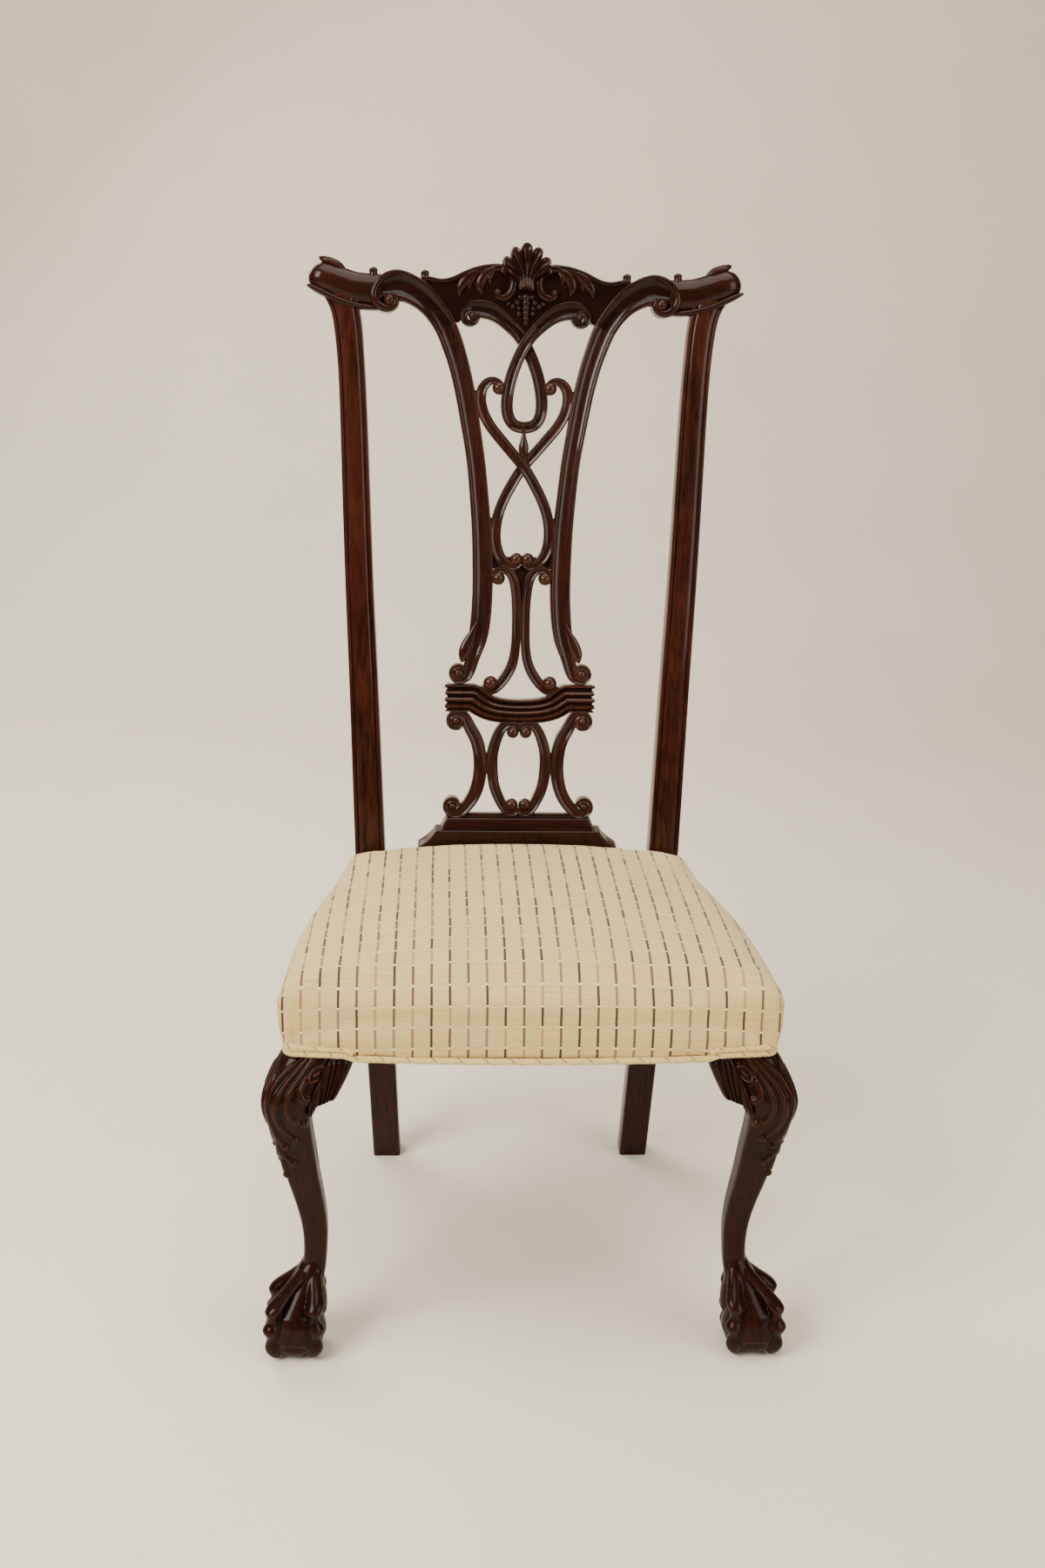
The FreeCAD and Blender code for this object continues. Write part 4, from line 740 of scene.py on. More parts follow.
def crest_carving(cove):
    """Crest rail: scrolls with rolled ears, the shell and the leaves round it."""
    carving = Carving()
    hollow = both_halves(COVE_HALF, cove)
    rounded, curled, proud_roll = (both_halves(ROUND_HALF, drop) for drop in (0.16, 0.22, 0.3))
    face, back = CREST_FACE, CREST_BACK
    ground = face + 5.5
    middle = (face + back) / 2 - 0.5
    above = cut_at_joint(spline(OUTER_STRAP, OUTER_STRAP_RINGS))[0]
    above[:, 3] -= (SPLAT_FACE - CREST_FACE) * np.clip((CREST_JOINT + 45 - above[:, 1]) / 45, 0, 1)
    carving.loft(strap_rings(above, hollow, face, back))
    carving.loft(strap_rings(spline(CREST_CURL, 130), curled, face, back))
    for x, height, radius, depth, depth_radius, rub in CURL_EYES:
        carving.loft(dome_rings(x, height, radius, face + depth, depth_radius), rub=rub)
    # The recess behind the curl's eye is darkened: painted shade.
    carving.loft(dome_rings(*CURL_RECESS, face + 10, 6), rub=0.0, dirt=0.5)
    ribbon = cut_at_joint(spline(RIBBON, RIBBON_RINGS)[::-1])[0]
    ribbon[:, 3] += 2.0 * ramp(ribbon[:, 1], CREST_JOINT, 18)
    add_crossing(carving, ribbon, hollow, RIBBON_CROSSING, SPLAT_FACE, back)
    carving.loft(dome_rings(*RIBBON_VOLUTE, 5.0, face + 3, 6.5), rub=0.6)
    field = np.array(CREST_FIELD + [(-x, height) for x, height in CREST_FIELD[-2:0:-1]])
    slab = [on_back(field[:, 0], depth, field[:, 1]) for depth in (ground, back - 1, back)]
    # The sunk field is darkened: painted shade on the recessed ground, with dirt in its stippling.
    carving.loft(np.array(slab), pair=False, rub=0.0, dirt=0.6)
    carving.loft(strap_rings(spline(CREST_TOP_RIM, 90), rounded, face + 3.5, back), rub=0.5)
    carving.loft(roll_rings(spline(EAR, 80), middle))
    carving.loft(strap_rings(spline(EAR_LIP, 70), proud_roll, face + 1.5, back - 3))
    carving.loft(roll_rings(spline(EAR_LEAF, 40), face + 11))
    for x, height in KNOBS:
        stub = spline([(x, height + rise, *radii) for rise, *radii in KNOB_TURNING], 26)
        carving.loft(roll_rings(stub, face + 10))
    for rows, count in ((SHELL_SCROLL, 100), *((leaf, 44) for leaf in FIELD_LEAVES)):
        carving.loft(strap_rings(spline(rows, count), rounded, ground, back - 6))
    carving.loft(dome_rings(*SHELL_SCROLL_EYE, ground - 3, 5.0), rub=0.6)
    for x, height, radius in HUSK_BEADS:
        # The beads are darkened a little: painted shade among them, with some dirt.
        bead = dome_rings(x, height, radius, ground - 1, radius * 0.95)
        carving.loft(bead, pair=x > 0, rub=0.3, dirt=0.4)
    carving.loft(shell_rings(), pair=False, rub=0.35)
    return carving


# Back posts: x and height of the centre line, and width, depth
POST_UPPER = [
    (184.8, 440, 37, 36), (187.4, 507, 36.3, 35), (193, 655, 34.8, 32.6), (197.4, 757, 33.8, 31),
    (202, 895, 32.8, 29), (205.6, 1000, 31.8, 27.6), (208.4, 1045, 32, 27), (210.8, 1070, 33, 26.5),
    (213.8, 1087, 34, 26), (217, 1098, 37, 26), (220.4, 1107, 41.5, 26),
]
# Half of the moulded front: share of the half width, and drop
POST_MOULD = [
    (0.0, 0.0), (0.2, 0.08), (0.4, 0.4), (0.55, 0.95), (0.63, 1.6), (0.67, 2.5), (0.695, 3.7),
    (0.735, 3.9), (0.76, 2.9), (0.785, 2.3), (0.82, 2.1), (0.92, 2.1), (0.975, 2.5), (1.0, 3.6),
]
# Back leg under the seat: x, width and depth at its top, and x and width at its foot
POST_TOP = (185, 37, 36)
POST_FOOT = (165.0, 35.0)
POST_KICK = 19.0
# Where the moulding starts, and the height over which it grows
MOULD_START = 428
MOULD_GROWTH = 16
# Plain corners: where the easing starts, and how far it goes; then the back's shares and easing
POST_EASE_START = 0.86
POST_EASE_SPAN = 0.14
POST_EASE = 2.6
POST_BACK_SHARES = [1.0, 0.97, POST_EASE_START, -POST_EASE_START, -0.97, -1.0]
POST_BACK_EASE = [POST_EASE, 0.7, 0.0, 0.0, 0.7, POST_EASE]


def post_carving(mirror):
    """A back post: a plain square leg that turns into the moulded upright."""
    carving = Carving()
    upper = spline(POST_UPPER, 120)
    heights = np.concatenate([[0, 0.6], np.linspace(2, 436, 60), upper[1:, 1]])
    below = heights < POST_UPPER[0][1]
    share = np.clip(1 - heights / FRAME_BOTTOM, 0, 1)
    top_x, top_width, top_depth = POST_TOP
    foot_x, foot_width = POST_FOOT
    lower = (top_x + (foot_x - top_x) * (1 - heights / SEAT_LINE),
             top_width + (foot_width - top_width) * share,
             top_depth + (foot_width - top_depth) * share)
    x, width, depth = (np.where(below, low, np.interp(heights, upper[:, 1], upper[:, k]))
                       for low, k in zip(lower, (0, 2, 3)))
    rake = np.clip(heights - SEAT_LINE, 0, None) * math.tan(RAKE)
    front = FRAME_DEPTH + POST_KICK * share ** 2 + rake
    sides, drops = np.array(both_halves(POST_MOULD, 1.0)).T
    eased = np.maximum(0.0, (np.abs(sides) - POST_EASE_START) / POST_EASE_SPAN)
    plain = POST_EASE * eased ** 2
    mould = ramp(heights, MOULD_START, MOULD_GROWTH)
    face = plain[None, :] + (drops - plain)[None, :] * mould[:, None]
    rear = depth[:, None] - np.array(POST_BACK_EASE)[None, :]
    reach = np.concatenate([sides, POST_BACK_SHARES])[None, :] * width[:, None] / 2
    y = front[:, None] + np.concatenate([face, rear], axis=1)
    carving.loft(placed(mirror * (x[:, None] + reach), y, heights[:, None]), pair=False)
    return carving


# Shoe: height, half width, and how far its face lies behind the posts' faces
SHOE_BASE = [
    (425, 125, 1.0), (444, 125, 1.0), (446, 122.6, 1.0), (448.5, 118.6, 1.2), (452, 114, 1.5),
    (456, 109.6, 1.8), (459.5, 106.4, 2.0), (462.5, 104.2, 2.1), (464.4, 103.2, 2.2),
    (465.2, 102.4, 3.0),
]
SHOE_CAP = [
    (461, 97.4, 3.8), (464.6, 97.4, 3.8), (465.6, 97.0, 4.0), (466.4, 96.5, 4.3),
    (478.4, 90.4, 6.6), (479.4, 89.9, 6.9), (480.2, 88.9, 7.9),
]
SHOE_BACK = 430.0


def shoe_carving():
    """Moulded shoe: plinth with coved ends, and a sloped cap."""
    carving = Carving()
    back = SHOE_BACK - FRAME_DEPTH
    run = np.concatenate([[-1, -0.9965], np.linspace(-0.985, 0.985, 41), [0.9965, 1]])
    ease = 0.9 * ramp(np.abs(run), 0.99, 0.01)
    for table in (SHOE_BASE, SHOE_CAP):
        levels = np.array(table)
        steps = [np.linspace(a, b, 4)[:-1] for a, b in zip(levels[:-1, 0], levels[1:, 0])]
        rings = []
        for height in np.concatenate(steps + [levels[-1:, 0]]):
            half, face = (np.interp(height, levels[:, 0], levels[:, k]) for k in (1, 2))
            depth = np.concatenate([face + ease, [back, back]])
            x = np.concatenate([run * half, [half, -half]])
            rings.append(placed(x, FRAME_DEPTH + depth, height))
        carving.loft(np.array(rings), pair=False, rub=0.25)
    return carving


# Cabriole leg: percent of the height under the rails, reach beyond the block, width, squareness
LEG_STATIONS = [
    (100, 5.0, 50.5, 4.5), (97, 11.5, 52.0, 4.3), (93, 20.0, 52.5, 4.2), (87, 27.0, 51.0, 4.0),
    (79, 21.5, 43.5, 4.2), (70, 13.5, 38.5, 5.0), (60, 6.0, 34.5, 6.0), (50, -2.5, 30.5, 6.0),
    (39, -9.0, 27.0, 5.0), (31, -9.5, 25.5, 3.6), (26, -7.0, 26.5, 3.0), (21, -1.5, 30.0, 2.5),
    (17, 0.0, 34.0, 2.2), (11, 2.0, 36.0, 2.0),
]
# Block at the leg's top, let in between the rails: x and y
LEG_BLOCK = [(243, 1.5), (251, 9), (246, 43), (210, 43), (210, 1.5)]
FOOT_CENTRE = (252.5, 0.5)
BALL_RADIUS = 31.0
BALL_MIDDLE = 20.0
BALL_STRETCH = 1.1
ANKLE = 104.0
# Height under which the web and the toes no longer lean towards the ankle
WEB_LEAN = 52
TOE_LEAN = 62
# Lower edge of the web at the toes, and how much lower it hangs between them
WEB_EDGE = 24.0
WEB_HANG = 20.0
# Toes: out from the foot's middle, height, thickness
TALON = [
    (4, 103, 4.5), (8, 94, 6.4), (13.5, 86, 7.4), (20, 79, 7.8), (26.4, 72, 8.8), (30, 65.5, 9.8),
    (31.2, 59, 8.2), (31.2, 53, 6.4), (32.4, 47, 7.4), (33.8, 41, 9.8), (33.2, 34.5, 8.2),
    (32.4, 28, 6.6), (32.8, 20, 8.4), (31.4, 10.5, 7.0), (28, 3.5, 4.0),
]
WEB_PROFILE = [
    (104, 12.5), (92, 14.5), (80, 18), (68, 22), (56, 26), (44, 30), (34, 33), (25, 34), (15, 30),
    (0, 24),
]
# Knee leaves on each outer face: share from the outer corner, height
FRONDS = [
    [(0.42, 356), (0.24, 347), (0.12, 335), (0.06, 318), (0.05, 298), (0.10, 276), (0.26, 258)],
    [(0.50, 356), (0.41, 346), (0.32, 334), (0.26, 316), (0.26, 298), (0.34, 281), (0.58, 268)],
    [(0.60, 356), (0.56, 346), (0.50, 334), (0.46, 318), (0.50, 304), (0.64, 293), (0.84, 288)],
    [(0.67, 340), (0.66, 331), (0.70, 323), (0.80, 317), (0.92, 315)],
    [(0.03, 300), (0.03, 272), (0.10, 250), (0.36, 236)],
    [(0.02, 264), (0.02, 246), (0.02, 230), (0.015, 220)],
]
FROND_STEPS = 40
FROND_REACH = 4.4
FROND_TIP = 5.0
FROND_TAPER = [(0, 0.8), (0.12, 1.0), (0.75, 1.0), (1.0, 0.8)]
# Trench beside the leaves: how far out, its half width, its depth
TRENCH_OUT = 1.4
TRENCH_REACH = 2.8
TRENCH_DEPTH = 0.7
# Scroll eye beside the wing: share, height, radius
KNEE_EYE = (0.83, 341, 9.0)
KNEE_LEAF_FOOT = 205.0


def leg_section(height):
    """Centre offset, width and squareness of the leg at heights."""
    curve = spline(LEG_STATIONS, 240)[::-1]
    levels = curve[:, 0] * FRAME_BOTTOM / 100
    return [np.interp(height, levels, curve[:, k]) for k in (1, 2, 3)]


def round_rings(x, y, radius, turn, height):
    """Level rings round an axis that may lean."""
    return placed(x + radius * np.cos(turn), y + radius * np.sin(turn), height)


def leg_blank():
    """Right front leg before its leaves are cut: shaft, block, ball, web and toes."""
    carving = Carving()
    heights = np.linspace(FRAME_BOTTOM * 0.11, FRAME_BOTTOM, 130)
    out, width, square = leg_section(heights)
    turn = full_turn(72)[None, :]
    power = (2 / square)[:, None]
    wide = np.sign(np.cos(turn)) * np.abs(np.cos(turn)) ** power
    deep = np.sign(np.sin(turn)) * np.abs(np.sin(turn)) ** power
    half = (width / 2)[:, None]
    middle = (out - width / 2)[:, None]
    shaft = placed(HALF_FRONT + middle + wide * half, -middle + deep * half, heights[:, None])
    carving.loft(shaft, pair=False)
    block = np.array(LEG_BLOCK)
    ends = (FRAME_BOTTOM - 4, FRAME_TOP - 1)
    carving.loft(np.array([placed(block[:, 0], block[:, 1], z) for z in ends]), pair=False)
    foot_x, foot_y = FOOT_CENTRE
    tilt = np.linspace(-0.40, 0.48, 22)[:, None] * math.pi
    level = BALL_MIDDLE * (1 + BALL_STRETCH * np.sin(tilt))
    carving.loft(round_rings(foot_x, foot_y, BALL_RADIUS * np.cos(tilt), turn, level), pair=False)
    ankle_out, ankle_width, _ = leg_section(ANKLE)
    ankle_x = HALF_FRONT + ankle_out - ankle_width / 2
    lean_x, lean_y = ankle_x - foot_x, HALF_FRONT - ankle_x - foot_y
    between = np.clip(1 - np.abs(np.cos(2 * turn)) * 1.25, 0, 1) ** 0.7
    low = WEB_EDGE - WEB_HANG * between
    level = ANKLE + (low - ANKLE) * np.linspace(0, 1, 40)[:, None]
    radius = read_off(WEB_PROFILE[::-1], level)
    lean = ramp(level, WEB_LEAN, ANKLE - WEB_LEAN)
    web = round_rings(foot_x + lean_x * lean, foot_y + lean_y * lean, radius, turn, level)
    carving.loft(web, pair=False)
    out, level, thick = (column[:, None] for column in spline(TALON, 60).T)
    lean = ramp(level, TOE_LEAN, ANKLE - TOE_LEAN)
    around = full_turn(20)[None, :]
    for quarter in range(4):
        angle = math.pi / 4 + quarter * math.pi / 2
        x = foot_x + lean_x * lean + out * math.cos(angle)
        y = foot_y + lean_y * lean + out * math.sin(angle)
        carving.loft(round_rings(x, y, thick, around, level), pair=False)
    return carving


def knee_relief(points, relief):
    """Height of the leaf carving at layout points on the right front leg."""
    height = points[:, 2]
    out, width, _ = leg_section(height)
    half = width / 2
    across = (points[:, 0] - HALF_FRONT - out + half) / half
    deep = (points[:, 1] + out - half) / half
    share = np.where(-deep >= across, (1 - across) / 2, (1 + deep) / 2)
    facing = ramp(np.maximum(across, -deep), 0.72, 0.2)
    nearest = np.full(len(points), 1e3)
    crown = np.zeros(len(points))
    tips = np.zeros(len(points))
    for frond in FRONDS:
        line = spline(frond, FROND_STEPS)
        aside = (share[:, None] - line[None, :, 0]) * width[:, None]
        gap = np.hypot(aside, height[:, None] - line[None, :, 1])
        near = gap.argmin(axis=1)
        distance = gap[np.arange(len(points)), near]
        taper = read_off(FROND_TAPER, near / (FROND_STEPS - 1))
        crown = np.maximum(crown, hump(distance, FROND_REACH * taper) * taper)
        tips = np.maximum(tips, hump(gap[:, -1], FROND_TIP, 1.15))
        nearest = np.minimum(nearest, distance)
    beside = np.abs(nearest - FROND_REACH - TRENCH_OUT)
    trench = np.clip(1 - beside / TRENCH_REACH, 0, 1) * TRENCH_DEPTH
    depth = np.maximum(crown - trench, 1.2 * tips)
    eye_share, eye_height, eye_radius = KNEE_EYE
    gap = np.hypot((share - eye_share) * width, height - eye_height) / eye_radius
    eye = np.maximum(hump(gap - 0.78, 0.26), hump(gap, 0.45, 1.1)) - 0.35
    return np.where(gap < 1.05, eye, depth) * relief / MM * facing


def leg_meshes(relief, voxel):
    """Meshes of the right and the left front leg, carved."""
    mesh = fused(mesh_of(leg_blank(), "leg_blank"), voxel, 2)
    mesh.name = "cabriole_leg_right"
    points = vertex_array(mesh) / MM
    normals = vertex_array(mesh, "normal")
    layout = points - np.array([0, FRAME_FRONT, 0])
    knee = (layout[:, 2] > KNEE_LEAF_FOOT) & (layout[:, 2] < FRAME_BOTTOM + 1)
    points[knee] += normals[knee] * knee_relief(layout[knee], relief)[:, None]
    points[:, 2] = np.maximum(points[:, 2], 0)
    set_vertices(mesh, points * MM)
    other = mesh.copy()
    other.name = "cabriole_leg_left"
    set_vertices(other, points * MM * MIRROR)
    other.flip_normals()
    return mesh, other


# Knee wings: share of the drop, and the wing's reach there from the leg's inner face at its foot
WING_DROP = 57.0
WING_EDGE = [
    (0.0, 43), (0.2, 39.8), (0.4, 35), (0.6, 29.5), (0.72, 26.2), (0.79, 23.6), (0.805, 18.5),
    (0.82, 13.5), (0.845, 9), (0.88, 6), (0.94, 3.4), (1.0, 2),
]
WING_ROOT = HALF_FRONT - 25.0
WING_BACK = 22.0
# Ribs across a wing: share of its reach, half width as a share, height
WING_RIBS = [
    (0.22, 0.11, 3.4), (0.43, 0.055, 2.2), (0.55, 0.055, 2.4), (0.67, 0.05, 2.2), (0.88, 0.11, 3.4),
]


def wing_carving(side, mirror):
    """A ribbed wing beside a knee: under the front rail, or under the side rail."""
    carving = Carving()
    drops = np.concatenate([np.linspace(0, 0.78, 44), np.linspace(0.79, 1, 22)])
    z = (FRAME_BOTTOM - WING_DROP * drops)[:, None]
    out, width, _ = leg_section(z)
    start = HALF_FRONT + out - width + 2.5
    end = np.minimum(WING_ROOT - read_off(WING_EDGE, drops)[:, None], start - 1.5)
    x = start + (end - start) * np.linspace(0, 1, 120)[None, :]
    share = np.clip((WING_ROOT + 2 - x) / (WING_ROOT + 2 - end), 0, 1)
    ribs = sum(rise * hump(share - rib, half) for rib, half, rise in WING_RIBS)
    ribs = ribs * np.clip(drops / 0.1, 0.3, 1)[:, None]
    edge = 3.0 * ramp(share, 0.95, 0.05) ** 2
    front = -(0.5 + (out - 0.5) * (1 - 0.8 * share ** 1.5) + ribs - edge)
    ring_x = np.concatenate([x, x[:, -1:], x[:, :1]], axis=1)
    ring_y = np.concatenate([front, np.full((len(drops), 2), WING_BACK)], axis=1)
    if side:
        ring_x, ring_y = HALF_FRONT - ring_y, HALF_FRONT - ring_x
    carving.loft(placed(mirror * ring_x, ring_y, z), pair=False, rub=0.35)
    return carving


# Seat: share of the depth, and height of the middle and of the edges
SEAT_MIDDLE = [
    (0.0, 442), (0.10, 451), (0.25, 459.5), (0.45, 465), (0.7, 465), (0.9, 462.5), (1.0, 460),
]
SEAT_EDGE = [(0.0, 439), (0.3, 441), (0.7, 441), (1.0, 440)]
SEAT_HEM = 361.5
# Rolled edge: how far it reaches in, at the front, the sides and the rear, and how far down
FRONT_ROLL = 52.0
SIDE_ROLL = 30.0
REAR_ROLL = 13.0
ROLL_DROP = 25.0
REAR_ROLL_DROP = 10.0
SEAT_REAR = 401.2
SIDE_SWELL = 15.0
HEM_SWELL = 0.2
# How far the stuffing stands out at the front corners, and how far back that dies away
FRONT_FULLNESS = 8.0
FULLNESS_DEPTH = 260
REAR_CORNER = 8
SEAT_CENTRE = (0, 195.0)
# Walls of the stuffing: height, stand-out, share of the swell, corner, share of the fullness
SEAT_WALLS = [
    (SEAT_HEM - 2, 5.5, HEM_SWELL, 14, 0.05), (375, 7.4, 0.45, 16, 0.45), (390, 9.2, 0.8, 18, 0.8),
    (403, 10.2, 1.0, 20, 1.0),
]
TOP_SHARES = (0.2, 0.28, 0.36, 0.45, 0.55, 0.66, 0.78, 0.9, 0.98)
# Room left for the cloth to be pushed up into
CLOTH_ROOM = 2.5
CLOTH_STEPS = 20
SEAT_CLOTH = {
    "quality": 5, "mass": 0.3, "tension_stiffness": 15, "compression_stiffness": 15,
    "bending_stiffness": 0.6, "use_pressure": True, "vertex_group_mass": "held",
}
# Height where the cloth turns down, and the folds under it at the corners: pitch, and height
FALL_LINE = 428
FOLD_PITCH = 26
FOLD_HEIGHT = 0.9

# Height of the cord on the front and beside the legs, and where it steps up
FRONT_WELT = 357.8
CORNER_WELT = 361.4
WELT_STEP = 186.0


def seat_outline(stand_out, corner, count, swell=0.0):
    """Points round the seat's plan, evenly spread, with its sides swollen in their middle."""
    front = -stand_out
    shift = stand_out * math.hypot(1, SIDE_SLOPE)
    half_front = HALF_FRONT - SIDE_SLOPE * front + shift
    half_rear = HALF_FRONT - SIDE_SLOPE * SEAT_REAR + shift
    turn = np.linspace(0, math.pi / 2, 12)
    bend = list(zip(1 - np.sin(turn), 1 - np.cos(turn)))
    inward = np.array([-1, 0])
    side = np.array([half_rear - half_front, SEAT_REAR - front])
    side = side / np.hypot(*side)
    front_corner = np.array([half_front, front])
    rear_corner = np.array([half_rear, SEAT_REAR])
    right = [rear_corner + REAR_CORNER * (a * inward - b * side) for a, b in bend]
    first, last = right[-1], front_corner + corner * side
    for share in np.linspace(0, 1, 30)[1:-1]:
        swollen = np.array([swell * math.sin(math.pi * share), 0])
        right.append(first + (last - first) * share + swollen)
    right += [front_corner + corner * (a * side + b * inward) for a, b in bend]
    half = right[-1][0]
    for share in np.linspace(1, 0, 30)[1:]:
        right.append(np.array([half * share, front - RAIL_BOW * (1 - share * share)]))
    right = np.array(right)
    left = right[::-1][1:] * np.array([-1, 1])
    return evenly_spread(np.concatenate([right, left, right[:1]]), count)[1]


def seat_top(plan):
    """Height of the crowned top at plan points."""
    half = HALF_FRONT - SIDE_SLOPE * plan[:, 1] + 10
    front = -10 - RAIL_BOW * (1 - (plan[:, 0] / HALF_FRONT) ** 2)
    along = np.clip((plan[:, 1] - front) / (SEAT_REAR - front), 0, 1)
    middle = read_off(SEAT_MIDDLE, along)
    edge = read_off(SEAT_EDGE, along)
    across = np.clip(np.abs(plan[:, 0]) / half, 0, 1)
    return edge + (middle - edge) * (1 - across ** 2.4)


def fuller(plan, share):
    """Plan points moved out towards the front corners by a share of the fullness."""
    ahead = np.clip(1 - plan[:, 1] / FULLNESS_DEPTH, 0, 1)
    wider = 1 + FRONT_FULLNESS * share * ahead / HALF_FRONT
    return np.stack([plan[:, 0] * wider, plan[:, 1]], axis=1)


def seat_carving():
    """The stuffed seat before the cloth is tightened: walls, rolled edge and crowned top."""
    carving = Carving()
    around = 400
    rings = []
    for height, stand_out, swell, corner, full in SEAT_WALLS:
        plan = fuller(seat_outline(stand_out, corner, around, SIDE_SWELL * swell), full)
        rings.append(placed(*plan.T, height))
    outer = fuller(seat_outline(10.5, 22, around, SIDE_SWELL), 1.0)
    centre = np.array(SEAT_CENTRE)
    reach = np.linalg.norm(outer - centre, axis=1)
    rear = ramp(outer[:, 1], 330, 70)
    ahead = np.clip(1 - outer[:, 1] / 20, 0, 1) * np.clip((245 - np.abs(outer[:, 0])) / 80, 0, 1)
    inward = SIDE_ROLL + (REAR_ROLL - SIDE_ROLL) * rear + (FRONT_ROLL - SIDE_ROLL) * ahead
    down = ROLL_DROP + (REAR_ROLL_DROP - ROLL_DROP) * rear
    for angle in np.linspace(0, math.pi / 2, 14):
        plan = outer + (centre - outer) * (inward * (1 - math.cos(angle)) / reach)[:, None]
        drop = down * (1 - math.sin(angle))
        rings.append(placed(*plan.T, seat_top(plan) - drop - CLOTH_ROOM))
    for share in TOP_SHARES:
        plan = outer + (centre - outer) * np.maximum(share, (inward + 2) / reach)[:, None]
        rings.append(placed(*plan.T, seat_top(plan) - CLOTH_ROOM))
    carving.loft(np.array(rings), pair=False)
    return carving


def tightened_seat(sizes):
    """The seat's mesh after its stuffing has pressed the cloth tight."""
    blank = fused(mesh_of(seat_carving(), "seat_blank"), sizes.seat_voxel, 2)
    start = vertex_array(blank)
    scene = bpy.context.scene
    pad = bpy.data.objects.new("pad", blank)
    scene.collection.objects.link(pad)
    held = pad.vertex_groups.new(name="held")
    hem = np.flatnonzero(start[:, 2] < (SEAT_HEM + 7) * MM)
    held.add(hem.tolist(), 1.0, "REPLACE")
    settings = pad.modifiers.new("cloth", "CLOTH").settings
    for setting, value in SEAT_CLOTH.items():
        setattr(settings, setting, value)
    settings.uniform_pressure_force = sizes.seat_pressure
    settings.effector_weights.gravity = 0
    for step in range(1, CLOTH_STEPS + 1):
        scene.frame_set(step)
    graph = bpy.context.evaluated_depsgraph_get()
    moved = vertex_array(pad.evaluated_get(graph).to_mesh()).copy()
    bpy.data.objects.remove(pad)
    scene.frame_set(1)
    step = moved - start
    length = np.linalg.norm(step, axis=1)
    step *= (np.minimum(length, sizes.seat_swell) / np.maximum(length, 1e-9))[:, None]
    set_vertices(blank, start + step)

    def refine(passing):
        passing.modifiers.new("fine", "SUBSURF").levels = 1

    return evaluated_mesh(blank, refine)


def tuck_corners(mesh):
    """Soft upright folds where the cloth is pulled round the front corners."""
    points = vertex_array(mesh)
    normals = vertex_array(mesh, "normal")
    layout = points / MM - np.array([0, FRAME_FRONT, 0])
    near = ramp(np.abs(layout[:, 0]), 150, 80) * np.clip(-normals[:, 1] * 2, 0, 1)
    low = np.clip((FALL_LINE - layout[:, 2]) / 45, 0, 1)
    fold = np.sin(layout[:, 0] * 2 * math.pi / FOLD_PITCH + layout[:, 2] * 0.02) * near * low
    set_vertices(mesh, points + normals * (fold * FOLD_HEIGHT * MM)[:, None])


def trimmed(mesh, height, fill=False):
    """The part of a mesh above a level, open or closed at the cut."""
    work = bmesh.new()
    work.from_mesh(mesh)
    everything = list(work.verts) + list(work.edges) + list(work.faces)
    cut = bmesh.ops.bisect_plane(work, geom=everything, plane_co=(0, 0, height),
                                 plane_no=(0, 0, 1), clear_inner=True)["geom_cut"]
    if fill:
        rim = [part for part in cut if isinstance(part, bmesh.types.BMEdge)]
        bmesh.ops.holes_fill(work, edges=rim)
    made = bpy.data.meshes.new(mesh.name)
    work.to_mesh(made)
    work.free()
    made.update()
    return made


def store_weave(mesh, flat):
    """Keeps each vertex's place on the flat cloth as a map in metres."""
    corners = np.empty(len(mesh.loops), dtype=np.int64)
    mesh.loops.foreach_get("vertex_index", corners)
    layer = mesh.uv_layers.new(name="weave")
    layer.uv.foreach_set("vector", flat[corners].astype(np.float32).ravel())


def lay_stripes(mesh):
    """Maps the cover as a cloth laid over the seat and turned down at its front and sides."""
    points = vertex_array(mesh) / MM - np.array([0, FRAME_FRONT, 0])
    normals = vertex_array(mesh, "normal")
    fall = np.maximum(0, FALL_LINE - points[:, 2])
    aside = ramp(np.abs(normals[:, 0]), 0.74, 0.10)
    ahead = ramp(-normals[:, 1], 0.45, 0.25)
    across = points[:, 0] + np.sign(points[:, 0]) * aside * fall
    store_weave(mesh, np.stack([across, points[:, 1] - ahead * fall], axis=1) * MM)


def cord_mesh(name, line, radius):
    """A covered cord along layout points, with its length and turn stored as a map."""
    around = 18
    along = directions(line)
    out = np.cross(along, np.array([0, 0, 1.0]))
    out /= np.linalg.norm(out, axis=1)[:, None]
    up = np.cross(out, along)
    turn = full_turn(around)
    length = path_length(line)
    lumps = np.sin(length / 27.0 * 2 * math.pi)[:, None] * np.sin(turn)[None, :]
    uneven = radius * (1 + 0.05 * lumps)
    rings = (line[:, None, :] + out[:, None, :] * (np.cos(turn) * uneven)[:, :, None]
             + up[:, None, :] * (np.sin(turn) * uneven)[:, :, None])
    carving = Carving()
    carving.loft(rings, pair=False)
    mesh = mesh_of(carving, name)
    length = np.concatenate([length[:1], length, length[-1:]])
    index = np.arange(len(mesh.vertices))
    store_weave(mesh, np.stack([length[index // around] * MM, (index % around) / around], axis=1))
    return mesh


def cloth_grid(name, outline, height, sag):
    """A cloth cut to an outline and nailed along its edge, sagging in the middle."""
    line = np.array(outline + outline[:1], float)
    centre = line[:-1].mean(axis=0)
    around = 240
    at, edge = evenly_spread(line, around)
    points = []
    shares = np.linspace(0, 1, 26)[:-1]
    for share in shares:
        plan = edge + (centre - edge) * share
        ripple = 0.35 * np.sin(at / 17.0) * (1 - share) * share * 4
        points.extend(placed(*plan.T, height - sag * (1 - (1 - share) ** 2) + ripple))
    points.append(placed(*centre, height - sag))
    last = (len(shares) - 1) * around
    middle = [(last + k, last + (k + 1) % around, len(points) - 1) for k in range(around)]
    carving = Carving()
    carving.add(np.array(points), quads(len(shares), around) + middle)
    return mesh_of(carving, name)


